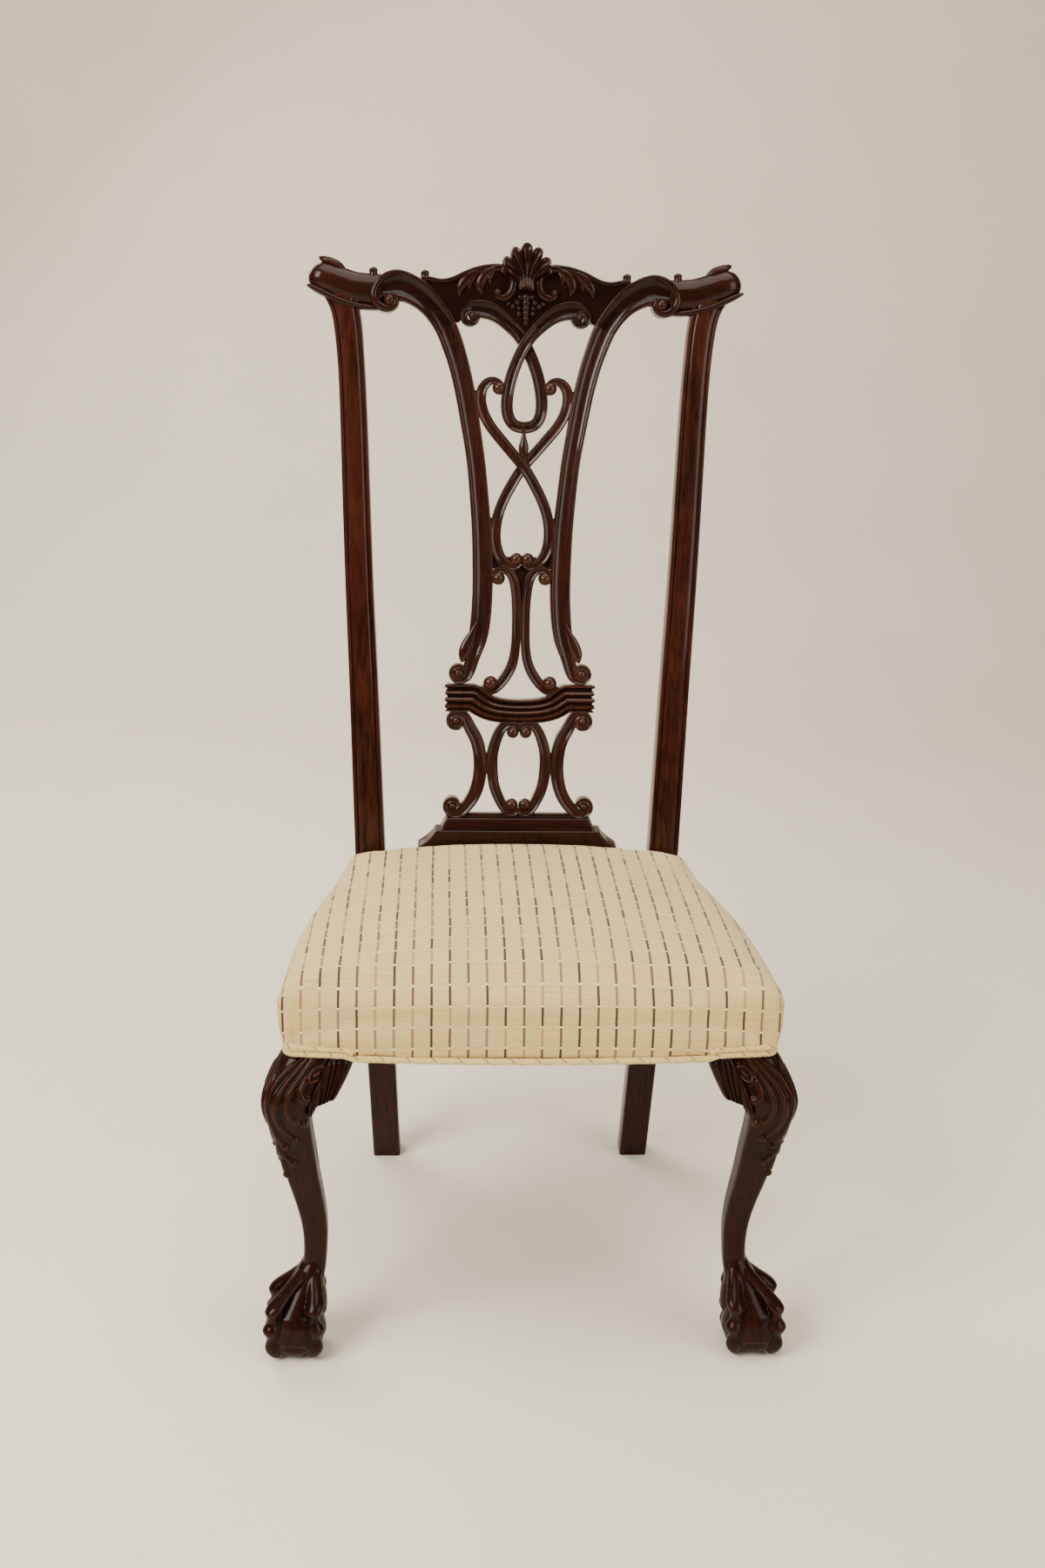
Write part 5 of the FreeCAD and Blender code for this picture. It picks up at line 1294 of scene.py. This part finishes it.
# Webbing: half width and thickness round a strap, the straps' spacing both ways, and their sag
STRAP_ACROSS = [-25, -24, 24, 25, 24, -24]
STRAP_THICK = [0.7, 1.4, 1.4, 0.7, 0.0, 0.0]
LENGTHWISE_SPACING = 90
CROSSWISE_SPACING = 80
CROSSWISE_MIDDLE = 201
CROSSWISE_LIFT = 1.7
WEBBING_SAG = 0.5


def webbing_carving(lengthwise):
    """Four straps of webbing over the frame, along the seat or across it."""
    carving = Carving()
    across = np.array(STRAP_ACROSS, float)
    thick = np.array(STRAP_THICK)
    for k in range(4):
        middle = (k - 1.5) * (LENGTHWISE_SPACING if lengthwise else CROSSWISE_SPACING)
        rings = []
        for share in np.linspace(0, 1, 60):
            dip = WEBBING_SAG * math.sin(share * math.pi)
            if lengthwise:
                rings.append(placed(middle + across, 1 + 399 * share, FRAME_TOP + thick - dip))
            else:
                y = CROSSWISE_MIDDLE + middle + across
                half = HALF_FRONT - SIDE_SLOPE * y - 3
                height = FRAME_TOP + CROSSWISE_LIFT + thick - dip
                rings.append(placed(half * (2 * share - 1), y, height))
        carving.loft(np.array(rings), pair=False)
    return carving


def welt_lines(radius):
    """The cord along the hem, and the short second cords above the front legs."""
    plan = seat_outline(5.4, 14, 1200, SIDE_SWELL * HEM_SWELL)
    plan = plan[plan[:, 1] < SEAT_REAR - 9]
    plan = plan[np.argsort(np.arctan2(plan[:, 0], 200 - plan[:, 1]))]
    beside = np.where(plan[:, 1] < 20, ramp(np.abs(plan[:, 0]), WELT_STEP, 10), 1.0)
    lines = [placed(*plan.T, FRONT_WELT + (CORNER_WELT - FRONT_WELT) * beside)]
    for side in (-1, 1):
        corner = plan[(plan[:, 0] * side > WELT_STEP) & (plan[:, 1] < 60)]
        sink = np.clip((WELT_STEP + 9 - np.abs(corner[:, 0])) / 9, 0, 1) * (corner[:, 1] < 20)
        height = CORNER_WELT + 1.95 * radius - 4 * sink
        lines.append(placed(corner[:, 0], corner[:, 1] - 0.6, height))
    return lines


# Materials
def new_material(name):
    material = bpy.data.materials.new(name)
    material.use_nodes = True
    return material, material.node_tree, material.node_tree.nodes["Principled BSDF"]


def feed(tree, made, inputs):
    """Sets a node's sockets, by name or number, to values or links them to other sockets."""
    for key, value in inputs.items():
        if isinstance(value, bpy.types.NodeSocket):
            tree.links.new(value, made.inputs[key])
        else:
            made.inputs[key].default_value = value


def node(tree, kind, inputs=None, **settings):
    """A shader node with its settings and its inputs."""
    made = tree.nodes.new("ShaderNode" + kind)
    for key, value in settings.items():
        setattr(made, key, value)
    feed(tree, made, inputs or {})
    return made


def maths(tree, operation, *values):
    return node(tree, "Math", dict(enumerate(values)), operation=operation).outputs[0]


def times(tree, first, second):
    return maths(tree, "MULTIPLY", first, second)


def plus(tree, first, second):
    return maths(tree, "ADD", first, second)


def minus(tree, first, second):
    return maths(tree, "SUBTRACT", first, second)


def blend(tree, share, first, second):
    """A mix of two colours, each a socket or three numbers."""
    colours = [c if isinstance(c, bpy.types.NodeSocket) else (*c, 1) for c in (first, second)]
    made = node(tree, "Mix", {0: share, 6: colours[0], 7: colours[1]}, data_type="RGBA")
    return made.outputs[2]


def toned(colour, share):
    """A colour made darker or lighter."""
    return tuple(share * c for c in colour)


def object_place(tree):
    return node(tree, "TexCoord").outputs["Object"]


def weave_place(tree):
    return node(tree, "UVMap", uv_map="weave").outputs[0]


def stretched(tree, vector, scale):
    return node(tree, "Mapping", {"Vector": vector, "Scale": scale}).outputs[0]


def axes_of(tree, vector):
    return node(tree, "SeparateXYZ", {0: vector}).outputs


def stored(tree, name):
    """A value kept with the mesh."""
    return node(tree, "Attribute", attribute_name=name).outputs["Fac"]


def noise(tree, vector, scale, detail=3.0, roughness=0.5, distortion=0.0):
    made = node(tree, "TexNoise", {"Vector": vector, "Scale": scale, "Detail": detail,
                                   "Roughness": roughness, "Distortion": distortion})
    return made.outputs["Fac"]


def ranged(tree, value, low, high, out_low=0.0, out_high=1.0):
    return node(tree, "MapRange", {0: value, 1: low, 2: high, 3: out_low, 4: out_high}).outputs[0]


def bumped(tree, shader, height, strength, distance):
    made = node(tree, "Bump", {"Height": height, "Strength": strength, "Distance": distance})
    tree.links.new(made.outputs[0], shader.inputs["Normal"])


# Heights between which the painted shade under the seat fades out of the wood, in metres
SHADE_FADE_LOW = 0.33
SHADE_FADE_HIGH = 0.47


def mahogany(name, finish, grain, carved=True, tone=1.0, shade_below_seat_tone=1.0, shine=1.0):
    """French-polished mahogany; grain is the stretch of its figure on each axis, tone its depth.

    The tone given for low down darkens the wood below the seat towards the deep colour: painted
    shade under the seat.
    """
    material, tree, shader = new_material(name)
    place = object_place(tree)
    fibres = stretched(tree, place, grain)
    figure = ranged(tree, noise(tree, fibres, 34.0, 6, 0.62, 0.8), 0.30, 0.72)
    streak = ranged(tree, noise(tree, fibres, 230.0, 3, 0.55), 0.35, 0.75)
    pores = ranged(tree, noise(tree, fibres, 900.0, 2, 0.5), 0.56, 0.72)
    patch = ranged(tree, noise(tree, place, 9.0, 3, 0.5), 0.3, 0.7)
    body = toned(finish.wood_body, tone)
    colour = blend(tree, figure, finish.wood_deep, body)
    colour = blend(tree, times(tree, streak, 0.45), colour, toned(body, 2.0))
    colour = blend(tree, times(tree, pores, 0.6), colour, finish.wood_deep)
    raised = minus(tree, times(tree, streak, 0.5), pores)
    if carved:
        wear, grime = stored(tree, "wear"), stored(tree, "grime")
        handling = ranged(tree, noise(tree, place, 60.0, 3, 0.6), 0.3, 0.65, 0.25, 0.95)
        # Hollows are pulled towards the deep wood colour: dirt and painted shade.
        colour = blend(tree, times(tree, grime, 0.9), colour, finish.wood_deep)
        worn = toned(finish.wood_worn, 0.35 + 0.65 * tone)
        colour = blend(tree, times(tree, wear, handling), colour, worn)
        stipple = times(tree, noise(tree, place, 700.0, 2), grime)
        raised = maths(tree, "MULTIPLY_ADD", stipple, 3.0, raised)
    # Painted shade: the wood below the seat is darkened towards the deep colour.
    if shade_below_seat_tone < 1.0:
        height = axes_of(tree, place)[2]
        under_seat_shade = ranged(tree, height, SHADE_FADE_LOW, SHADE_FADE_HIGH, 1.0 - shade_below_seat_tone, 0.0)
        colour = blend(tree, under_seat_shade, colour, finish.wood_deep)
    rough = plus(tree, times(tree, patch, 0.12), maths(tree, "MULTIPLY_ADD", streak, 0.08, 0.20))
    feed(tree, shader, {"Base Color": colour, "Roughness": rough,
                        "Specular IOR Level": 0.07 * shine,
                        "Coat Weight": 0.24 * shine, "Coat Roughness": 0.05})
    bumped(tree, shader, raised, 0.25, 0.0004)
    return material


# Stripes of the seat cloth in metres, and their dashes: where each draw starts, and its colour
STRIPE_PITCH = 0.0192
DASH_PITCH = 0.0245
DASH_COLOURS = [
    (0.0, (0.070, 0.034, 0.017)), (0.34, (0.15, 0.082, 0.040)), (0.56, (0.46, 0.27, 0.085)),
    (0.72, (0.25, 0.185, 0.115)), (0.86, (0.28, 0.16, 0.07)),
]
WARP_COLOUR = (0.42, 0.31, 0.18)
# The welt's stripe in metres: its pitch, its slant over one turn of the cord, and its colour
WELT_PITCH = 0.027
WELT_SLANT = 0.022
WELT_STRIPE = (0.16, 0.085, 0.04)


def dash_colour(tree, stripe_id, dash_id):
    """One of the dashes' colours, drawn for each dash."""
    cell = node(tree, "CombineXYZ", {0: stripe_id, 1: dash_id}).outputs[0]
    draw = node(tree, "TexWhiteNoise", {"Vector": cell}, noise_dimensions="2D").outputs["Value"]
    made = node(tree, "ValToRGB", {0: draw})
    made.color_ramp.interpolation = "CONSTANT"
    elements = made.color_ramp.elements
    while len(elements) < len(DASH_COLOURS):
        elements.new(0.5)
    for element, (start, colour) in zip(elements, DASH_COLOURS):
        element.position = start
        element.color = (*colour, 1)
    return made.outputs[0]


def striped_cloth(name, finish):
    """Straw-coloured cloth with dashed stripes; the picks between the dashes line up across it."""
    material, tree, shader = new_material(name)
    flat = weave_place(tree)
    x, y, _ = axes_of(tree, flat)
    wander = times(tree, minus(tree, noise(tree, flat, 14.0, 2), 0.5), 0.0022)
    across = maths(tree, "DIVIDE", plus(tree, x, wander), STRIPE_PITCH)
    along = maths(tree, "DIVIDE", plus(tree, y, times(tree, wander, 0.8)), DASH_PITCH)
    dashes = dash_colour(tree, maths(tree, "FLOOR", across), maths(tree, "FLOOR", along))
    aside = maths(tree, "ABSOLUTE", minus(tree, maths(tree, "FRACT", across), 0.5))
    fringe = times(tree, noise(tree, stretched(tree, flat, (1, 1200, 1)), 1.0, 1), 0.022)
    stripe = ranged(tree, minus(tree, aside, fringe), 0.050, 0.066, 1, 0)
    pick = maths(tree, "LESS_THAN", maths(tree, "FRACT", along), 0.085)
    pick_reach = ranged(tree, aside, 0.075, 0.12, 1, 0)
    threads = noise(tree, stretched(tree, flat, (260, 2300, 1)), 1.0, 2)
    warp = noise(tree, stretched(tree, flat, (2100, 420, 1)), 1.0, 1)
    slub = noise(tree, stretched(tree, flat, (28, 620, 1)), 1.0, 4, 0.6)
    slub = ranged(tree, slub, 0.36, 0.70)
    streak = noise(tree, stretched(tree, flat, (10, 300, 1)), 1.0, 3, 0.6)
    streak = ranged(tree, streak, 0.46, 0.66, 0, 0.55)
    ground = blend(tree, slub, finish.cloth_ground, finish.cloth_slub)
    ground = blend(tree, streak, ground, toned(finish.cloth_slub, 0.78))
    ground = blend(tree, ranged(tree, threads, 0.35, 0.7, 0, 0.35), ground, finish.cloth_pick)
    ground = blend(tree, ranged(tree, warp, 0.45, 0.75, 0, 0.22), ground, WARP_COLOUR)
    colour = blend(tree, times(tree, stripe, minus(tree, 1.0, pick)), ground, dashes)
    shown_pick = times(tree, times(tree, pick, pick_reach), 0.85)
    colour = blend(tree, shown_pick, colour, finish.cloth_pick)
    feed(tree, shader, {"Base Color": colour, "Roughness": 0.88,
                        "Sheen Weight": 0.22, "Sheen Roughness": 0.4})
    raised = plus(tree, times(tree, threads, 0.8), times(tree, slub, -0.6))
    raised = plus(tree, raised, times(tree, stripe, 0.5))
    bumped(tree, shader, plus(tree, raised, times(tree, warp, 0.5)), 0.45, 0.0006)
    return material


def welt_cloth(name, finish):
    """Bias-cut strip of the seat cloth round a cord: its stripes run slantwise."""
    material, tree, shader = new_material(name)
    along, around, _ = axes_of(tree, weave_place(tree))
    slant = maths(tree, "MULTIPLY_ADD", around, WELT_SLANT, along)
    stripe = maths(tree, "FRACT", maths(tree, "DIVIDE", slant, WELT_PITCH))
    aside = maths(tree, "ABSOLUTE", minus(tree, stripe, 0.5))
    tick = ranged(tree, aside, 0.022, 0.045, 1, 0)
    place = object_place(tree)
    slub = ranged(tree, noise(tree, place, 700.0, 3), 0.35, 0.7)
    threads = ranged(tree, noise(tree, place, 1800.0, 1), 0.4, 0.7, 0, 0.4)
    ground = blend(tree, slub, finish.cloth_ground, finish.cloth_slub)
    ground = blend(tree, threads, ground, finish.cloth_pick)
    colour = blend(tree, times(tree, tick, 0.85), ground, WELT_STRIPE)
    feed(tree, shader, {"Base Color": colour, "Roughness": 0.88, "Sheen Weight": 0.2})
    bumped(tree, shader, slub, 0.4, 0.0004)
    return material


def plain_weave(name, light, dark, pitch):
    """Open plain weave, for base cloths and webbing."""
    material, tree, shader = new_material(name)
    place = object_place(tree)
    turns = 2 * math.pi / pitch
    waves = [maths(tree, "SINE", times(tree, axis, turns)) for axis in axes_of(tree, place)[:2]]
    weave = times(tree, *waves)
    mottle = noise(tree, place, 160.0, 4, 0.6)
    share = maths(tree, "MULTIPLY_ADD", weave, 0.3, mottle)
    colour = blend(tree, ranged(tree, share, 0.2, 0.8), dark, light)
    feed(tree, shader, {"Base Color": colour, "Roughness": 0.93})
    bumped(tree, shader, weave, 0.5, pitch / 4)
    return material


def raw_wood(name, finish):
    """Unpolished wood of the hidden frame."""
    material, tree, shader = new_material(name)
    grain = stretched(tree, object_place(tree), (0.12, 1, 1))
    figure = ranged(tree, noise(tree, grain, 120.0, 5, 0.6, 0.5), 0.3, 0.7)
    colour = blend(tree, figure, finish.rail_wood, toned(finish.rail_wood, 0.55))
    feed(tree, shader, {"Base Color": colour, "Roughness": 0.75})
    bumped(tree, shader, figure, 0.3, 0.0005)
    return material


RUST_COLOUR = (0.16, 0.06, 0.025)


def blued_steel(name, finish):
    """Tacks, nails and screws: dark steel with a little rust."""
    material, tree, shader = new_material(name)
    rust = ranged(tree, noise(tree, object_place(tree), 420.0, 4, 0.65), 0.5, 0.72)
    feed(tree, shader, {"Base Color": blend(tree, rust, finish.steel, RUST_COLOUR),
                        "Metallic": minus(tree, 0.95, times(tree, rust, 0.6)),
                        "Roughness": maths(tree, "MULTIPLY_ADD", rust, 0.4, 0.35)})
    return material


# Mahogany of each piece: its grain, upright or level, how deep and bright its polish is, and for
# the posts how dark the painted shade below the seat is
UPRIGHT_GRAIN = (1, 1, 0.07)
LEVEL_GRAIN = (0.07, 1, 1)
MAHOGANY = {
    "upright_mahogany": dict(grain=UPRIGHT_GRAIN, tone=0.9, shade_below_seat_tone=0.6),
    "splat_mahogany": dict(grain=UPRIGHT_GRAIN, tone=0.7, shine=1.4),
    "leg_mahogany": dict(grain=UPRIGHT_GRAIN, tone=0.4, shine=0.6),
    "crest_mahogany": dict(grain=LEVEL_GRAIN, tone=0.36),
    "rail_mahogany": dict(grain=LEVEL_GRAIN, carved=False),
    "shoe_mahogany": dict(grain=LEVEL_GRAIN, tone=0.5),
}
# Plain cloths: light thread, dark thread, and pitch in metres
PLAIN_WEAVES = {
    "stuffing_cloth": ((0.62, 0.56, 0.45), (0.42, 0.36, 0.27), 0.0011),
    "hessian": ((0.36, 0.25, 0.13), (0.15, 0.095, 0.045), 0.0024),
    "webbing": ((0.50, 0.42, 0.29), (0.20, 0.14, 0.08), 0.0018),
    "dust_cloth": ((0.045, 0.042, 0.040), (0.016, 0.015, 0.014), 0.0013),
}
OTHER_FINISHES = {
    "striped_cloth": striped_cloth, "welt_cloth": welt_cloth, "raw_wood": raw_wood,
    "blued_steel": blued_steel,
}


def chair_material(name):
    """A finish of this chair, made when it is first asked for."""
    made = bpy.data.materials.get(name)
    if made:
        return made
    finish = bpy.context.scene.chair_finish
    if name in MAHOGANY:
        return mahogany(name, finish, **MAHOGANY[name])
    if name in PLAIN_WEAVES:
        return plain_weave(name, *PLAIN_WEAVES[name])
    return OTHER_FINISHES[name](name, finish)


def carved_piece(name, carving, material, nodes):
    """A carved wooden piece with its wear marked."""
    mesh = mesh_of(carving, name)
    mark_wear(mesh, rub=np.array(carving.rub), dirt=np.array(carving.dirt))
    return piece(name, mesh, chair_material(material), nodes)


# Studio sweep in metres; it lies a little under the feet
SWEEP_HALF = 6.0
SWEEP_FRONT = -5.0
SWEEP_WALL = 3.4
SWEEP_HEIGHT = 4.5
SWEEP_BEND = 1.2
SWEEP_UNDER = 0.0005
# Lamps: the power they use, place and size in metres; all look at the same point
LAMPS = {
    "key": ("key_power", (-2.2, -1.9, 2.5), 1.8),
    "fill": ("fill_power", (2.4, -2.0, 1.6), 2.2),
    "top": ("top_power", (0.2, -0.2, 3.3), 2.4),
    "rear": ("fill_power", (-1.6, 2.2, 2.4), 1.8),
}
LAMP_AIM = Vector((0, 0, 0.6))
LAMP_COLOUR = (1.0, 0.955, 0.885)
# Air round the studio: colour, strength as light, and strength added where it is seen
AIR_COLOUR = (1.0, 0.945, 0.86, 1)
AIR_LIGHT = 0.07
AIR_SEEN = 0.75
# Camera, as a layout point
CAMERA_SPOT = (-100.6, -1655.5, 1177.8)


def studio_sweep(finish):
    """A pale floor that bends up into the wall behind the chair."""
    material, tree, shader = new_material("studio_floor")
    cloud = ranged(tree, noise(tree, object_place(tree), 3.0, 3), 0.3, 0.7)
    pale = finish.floor_colour
    colour = blend(tree, cloud, pale, toned(pale, 0.96))
    feed(tree, shader, {"Base Color": colour, "Roughness": 0.7})
    bend_start = SWEEP_WALL - SWEEP_BEND
    line = [(SWEEP_FRONT, 0.0), (bend_start, 0.0)]
    for angle in np.linspace(0, math.pi / 2, 14)[1:]:
        y = bend_start + SWEEP_BEND * math.sin(angle)
        line.append((y, SWEEP_BEND - SWEEP_BEND * math.cos(angle)))
    line.append((SWEEP_WALL, SWEEP_HEIGHT))
    points = [(x, y, z - SWEEP_UNDER) for y, z in line for x in (-SWEEP_HALF, SWEEP_HALF)]
    faces = [(2 * k, 2 * k + 1, 2 * k + 3, 2 * k + 2) for k in range(len(line) - 1)]
    mesh = bpy.data.meshes.new("studio_sweep")
    mesh.from_pydata(points, [], faces)
    mesh.shade_smooth()
    mesh.materials.append(material)
    return bpy.data.objects.new("studio_sweep", mesh)


def studio_lamp(name, power, spot, size):
    """A large soft lamp that looks at the chair."""
    light = bpy.data.lights.new(name + "_light", "AREA")
    light.energy = power
    light.size = size
    light.color = LAMP_COLOUR
    lamp = bpy.data.objects.new(name + "_light", light)
    lamp.location = spot
    lamp.rotation_euler = (LAMP_AIM - Vector(spot)).to_track_quat("-Z", "Y").to_euler()
    return lamp


def studio_air():
    """Pale surroundings that give little light of their own."""
    world = bpy.data.worlds.new("studio")
    world.use_nodes = True
    tree = world.node_tree
    seen = node(tree, "LightPath").outputs["Is Camera Ray"]
    strength = maths(tree, "MULTIPLY_ADD", seen, AIR_SEEN, AIR_LIGHT)
    feed(tree, tree.nodes["Background"], {0: AIR_COLOUR, 1: strength})
    return world


def photo_camera(stage):
    """A camera at the photograph's angle."""
    camera = bpy.data.cameras.new("photo_camera")
    camera.lens = stage.lens
    camera.sensor_width = 36.0
    viewer = bpy.data.objects.new("photo_camera", camera)
    a, e, r = stage.azimuth, stage.elevation, stage.roll
    back = Vector((math.sin(a) * math.cos(e), -math.cos(a) * math.cos(e), math.sin(e)))
    right = Vector((math.cos(a), math.sin(a), 0))
    up = back.cross(right)
    axes = (right * math.cos(r) + up * math.sin(r), up * math.cos(r) - right * math.sin(r), back)
    spot = (Vector(CAMERA_SPOT) + Vector((0, FRAME_FRONT, 0))) * MM
    viewer.matrix_world = Matrix.Translation(spot) @ Matrix(axes).transposed().to_4x4()
    return viewer


class CHAIR_OT_stage(bpy.types.Operator):
    """Set up the floor, the lights and the camera"""

    bl_idname = "chair.stage"
    bl_label = "Stage"

    def execute(self, context):
        scene = context.scene
        stage = scene.chair_stage
        sweep = studio_sweep(scene.chair_finish)
        lamps = [studio_lamp(name, getattr(stage, power), spot, size)
                 for name, (power, spot, size) in LAMPS.items()]
        viewer = photo_camera(stage)
        for made in (sweep, *lamps, viewer):
            scene.collection.objects.link(made)
        scene.world = studio_air()
        scene.camera = viewer
        return {"FINISHED"}


SIDES = (("left", -1), ("right", 1))


class CHAIR_OT_posts(bpy.types.Operator):
    """Make the two back posts"""

    bl_idname = "chair.posts"
    bl_label = "Back posts"

    def execute(self, context):
        for side, mirror in SIDES:
            carving = post_carving(mirror)
            carved_piece("moulded_post_" + side, carving, "upright_mahogany", ["rear_post_" + side])
        return {"FINISHED"}


class CHAIR_OT_splat(bpy.types.Operator):
    """Make the pierced splat"""

    bl_idname = "chair.splat"
    bl_label = "Splat"

    def execute(self, context):
        carving = splat_carving(context.scene.chair_sizes.cove_depth)
        carved_piece("pierced_splat", carving, "splat_mahogany", ["back_splat"])
        return {"FINISHED"}


class CHAIR_OT_crest(bpy.types.Operator):
    """Make the carved crest rail"""

    bl_idname = "chair.crest"
    bl_label = "Crest rail"

    def execute(self, context):
        carving = crest_carving(context.scene.chair_sizes.cove_depth)
        carved_piece("carved_crest", carving, "crest_mahogany", ["crest_rail"])
        return {"FINISHED"}


class CHAIR_OT_shoe(bpy.types.Operator):
    """Make the shoe under the splat"""

    bl_idname = "chair.shoe"
    bl_label = "Shoe"

    def execute(self, context):
        carved_piece("moulded_shoe", shoe_carving(), "shoe_mahogany", ["splat_shoe"])
        return {"FINISHED"}


class CHAIR_OT_front_legs(bpy.types.Operator):
    """Make the cabriole legs with their claw feet"""

    bl_idname = "chair.front_legs"
    bl_label = "Front legs"

    def execute(self, context):
        sizes = context.scene.chair_sizes
        wood = chair_material("leg_mahogany")
        for mesh, side in zip(leg_meshes(sizes.leaf_relief, sizes.leg_voxel), ("right", "left")):
            mark_wear(mesh, 1.6, rub=0.3)
            nodes = ["front_leg_" + side]
            piece("cabriole_leg_" + side, mesh, wood, nodes, crease=0)
        return {"FINISHED"}


class CHAIR_OT_knee_wings(bpy.types.Operator):
    """Make the ribbed wings beside the knees"""

    bl_idname = "chair.knee_wings"
    bl_label = "Knee wings"

    def execute(self, context):
        for side, mirror in SIDES:
            for place in ("front", "side"):
                where = f"{place}_{side}"
                carving = wing_carving(place == "side", mirror)
                nodes = ["knee_bracket_" + where]
                carved_piece("knee_wing_" + where, carving, "leg_mahogany", nodes)
        return {"FINISHED"}


# Gap between the cover and the stuffing, in metres
STUFFING_GAP = 0.002


class CHAIR_OT_seat(bpy.types.Operator):
    """Make the stuffing and the striped cover"""

    bl_idname = "chair.seat"
    bl_label = "Seat"

    def execute(self, context):
        tight = tightened_seat(context.scene.chair_sizes)
        tuck_corners(tight)
        cover = trimmed(tight, SEAT_HEM * MM)
        cover.name = "seat_cover_cloth"
        lay_stripes(cover)
        stripes = chair_material("striped_cloth")
        cloth = piece("seat_cover_cloth", cover, stripes, ["seat_cover"], crease=0)
        shrunk = tight.copy()
        inside = vertex_array(tight) - vertex_array(tight, "normal") * STUFFING_GAP
        set_vertices(shrunk, inside)
        stuffing = trimmed(shrunk, (FRAME_TOP + 6) * MM, fill=True)
        plain = chair_material("stuffing_cloth")
        pad = piece("seat_stuffing", stuffing, plain, ["seat_pad"], crease=0)
        return {"FINISHED"}


class CHAIR_OT_welt(bpy.types.Operator):
    """Make the covered cord along the hem"""

    bl_idname = "chair.welt"
    bl_label = "Welt"

    def execute(self, context):
        radius = context.scene.chair_sizes.welt_radius / MM
        joined = bmesh.new()
        for line in welt_lines(radius):
            joined.from_mesh(cord_mesh("welt", line, radius))
        welt = bpy.data.meshes.new("seat_welt_cord")
        joined.to_mesh(welt)
        joined.free()
        cloth = chair_material("welt_cloth")
        piece("seat_welt_cord", welt, cloth, ["seat_welt"], crease=50)
        return {"FINISHED"}


# Right half of the dust cover's edge, and the hessian's edge: x and y
DUST_EDGE = [(176, 8), (176, 30), (223, 77), (235.5, 77), (196.5, 394), (158, 394), (158, 422)]
HESSIAN_EDGE = [(-246, 6), (246, 6), (197.5, 399), (-197.5, 399)]
HESSIAN_HEIGHT = 429.6
HESSIAN_SAG = 0.6


class CHAIR_OT_base_cloths(bpy.types.Operator):
    """Make the webbing, the hessian and the dust cover"""

    bl_idname = "chair.base_cloths"
    bl_label = "Base cloths"

    def execute(self, context):
        sag = context.scene.chair_sizes.dust_cover_sag / MM
        edge = DUST_EDGE + [(-x, y) for x, y in reversed(DUST_EDGE)]
        dust = cloth_grid("dust_cover_cloth", edge, FRAME_BOTTOM - 0.6, sag)
        cloth = chair_material("dust_cloth")
        under = piece("dust_cover_cloth", dust, cloth, ["dust_cover"], crease=0)
        sheet = cloth_grid("hessian_cloth", HESSIAN_EDGE, HESSIAN_HEIGHT, HESSIAN_SAG)
        cloth = chair_material("hessian")
        base = piece("hessian_cloth", sheet, cloth, ["hessian_sheet"], crease=0)
        for way in ("lengthwise", "crosswise"):
            name = "webbing_straps_" + way
            mesh = mesh_of(webbing_carving(way == "lengthwise"), name)
            piece(name, mesh, chair_material("webbing"), ["webbing_" + way])
        return {"FINISHED"}


# Finishes of the solids that are shown as they are; the others are raw wood
SOLID_FINISHES = {
    "rear_seat_rail": "rail_mahogany", "corner_block_screws": "blued_steel",
    "shoe_nails": "blued_steel", "webbing_tacks": "blued_steel", "dust_cover_tacks": "blued_steel",
}


class CHAIR_OT_frame_finish(bpy.types.Operator):
    """Give the rails, blocks and fasteners their finish"""

    bl_idname = "chair.frame_finish"
    bl_label = "Frame finish"

    def execute(self, context):
        for name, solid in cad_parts.items():
            if solid.hide_render:
                continue
            solid.data.materials.clear()
            solid.data.materials.append(chair_material(SOLID_FINISHES.get(name, "raw_wood")))
        return {"FINISHED"}


class CHAIR_PT_panel(bpy.types.Panel):
    """Sizes, colours and steps of the chair"""

    bl_idname = "CHAIR_PT_panel"
    bl_label = "Carved side chair"
    bl_space_type = "VIEW_3D"
    bl_region_type = "UI"
    bl_category = "Chair"

    def draw(self, context):
        scene = context.scene
        for group in (scene.chair_sizes, scene.chair_finish, scene.chair_stage):
            box = self.layout.box()
            for name in group.__annotations__:
                box.prop(group, name)
        for step in STEPS:
            self.layout.operator(step.bl_idname)


STEPS = (
    CHAIR_OT_stage, CHAIR_OT_posts, CHAIR_OT_splat, CHAIR_OT_crest, CHAIR_OT_shoe,
    CHAIR_OT_front_legs, CHAIR_OT_knee_wings, CHAIR_OT_seat, CHAIR_OT_welt, CHAIR_OT_base_cloths,
    CHAIR_OT_frame_finish,
)
GROUPS = {"chair_sizes": ChairSizes, "chair_finish": ChairFinish, "chair_stage": ChairStage}


def register():
    for group in GROUPS.values():
        bpy.utils.register_class(group)
    for name, group in GROUPS.items():
        setattr(bpy.types.Scene, name, bpy.props.PointerProperty(type=group))
    for made in (*STEPS, CHAIR_PT_panel):
        bpy.utils.register_class(made)


def unregister():
    for made in (CHAIR_PT_panel, *reversed(STEPS)):
        bpy.utils.unregister_class(made)
    for name, group in GROUPS.items():
        delattr(bpy.types.Scene, name)
        bpy.utils.unregister_class(group)


def main():
    """Build the whole chair."""
    register()
    for step in STEPS:
        area, name = step.bl_idname.split(".")
        getattr(getattr(bpy.ops, area), name)()


if __name__ == "__main__":
    main()
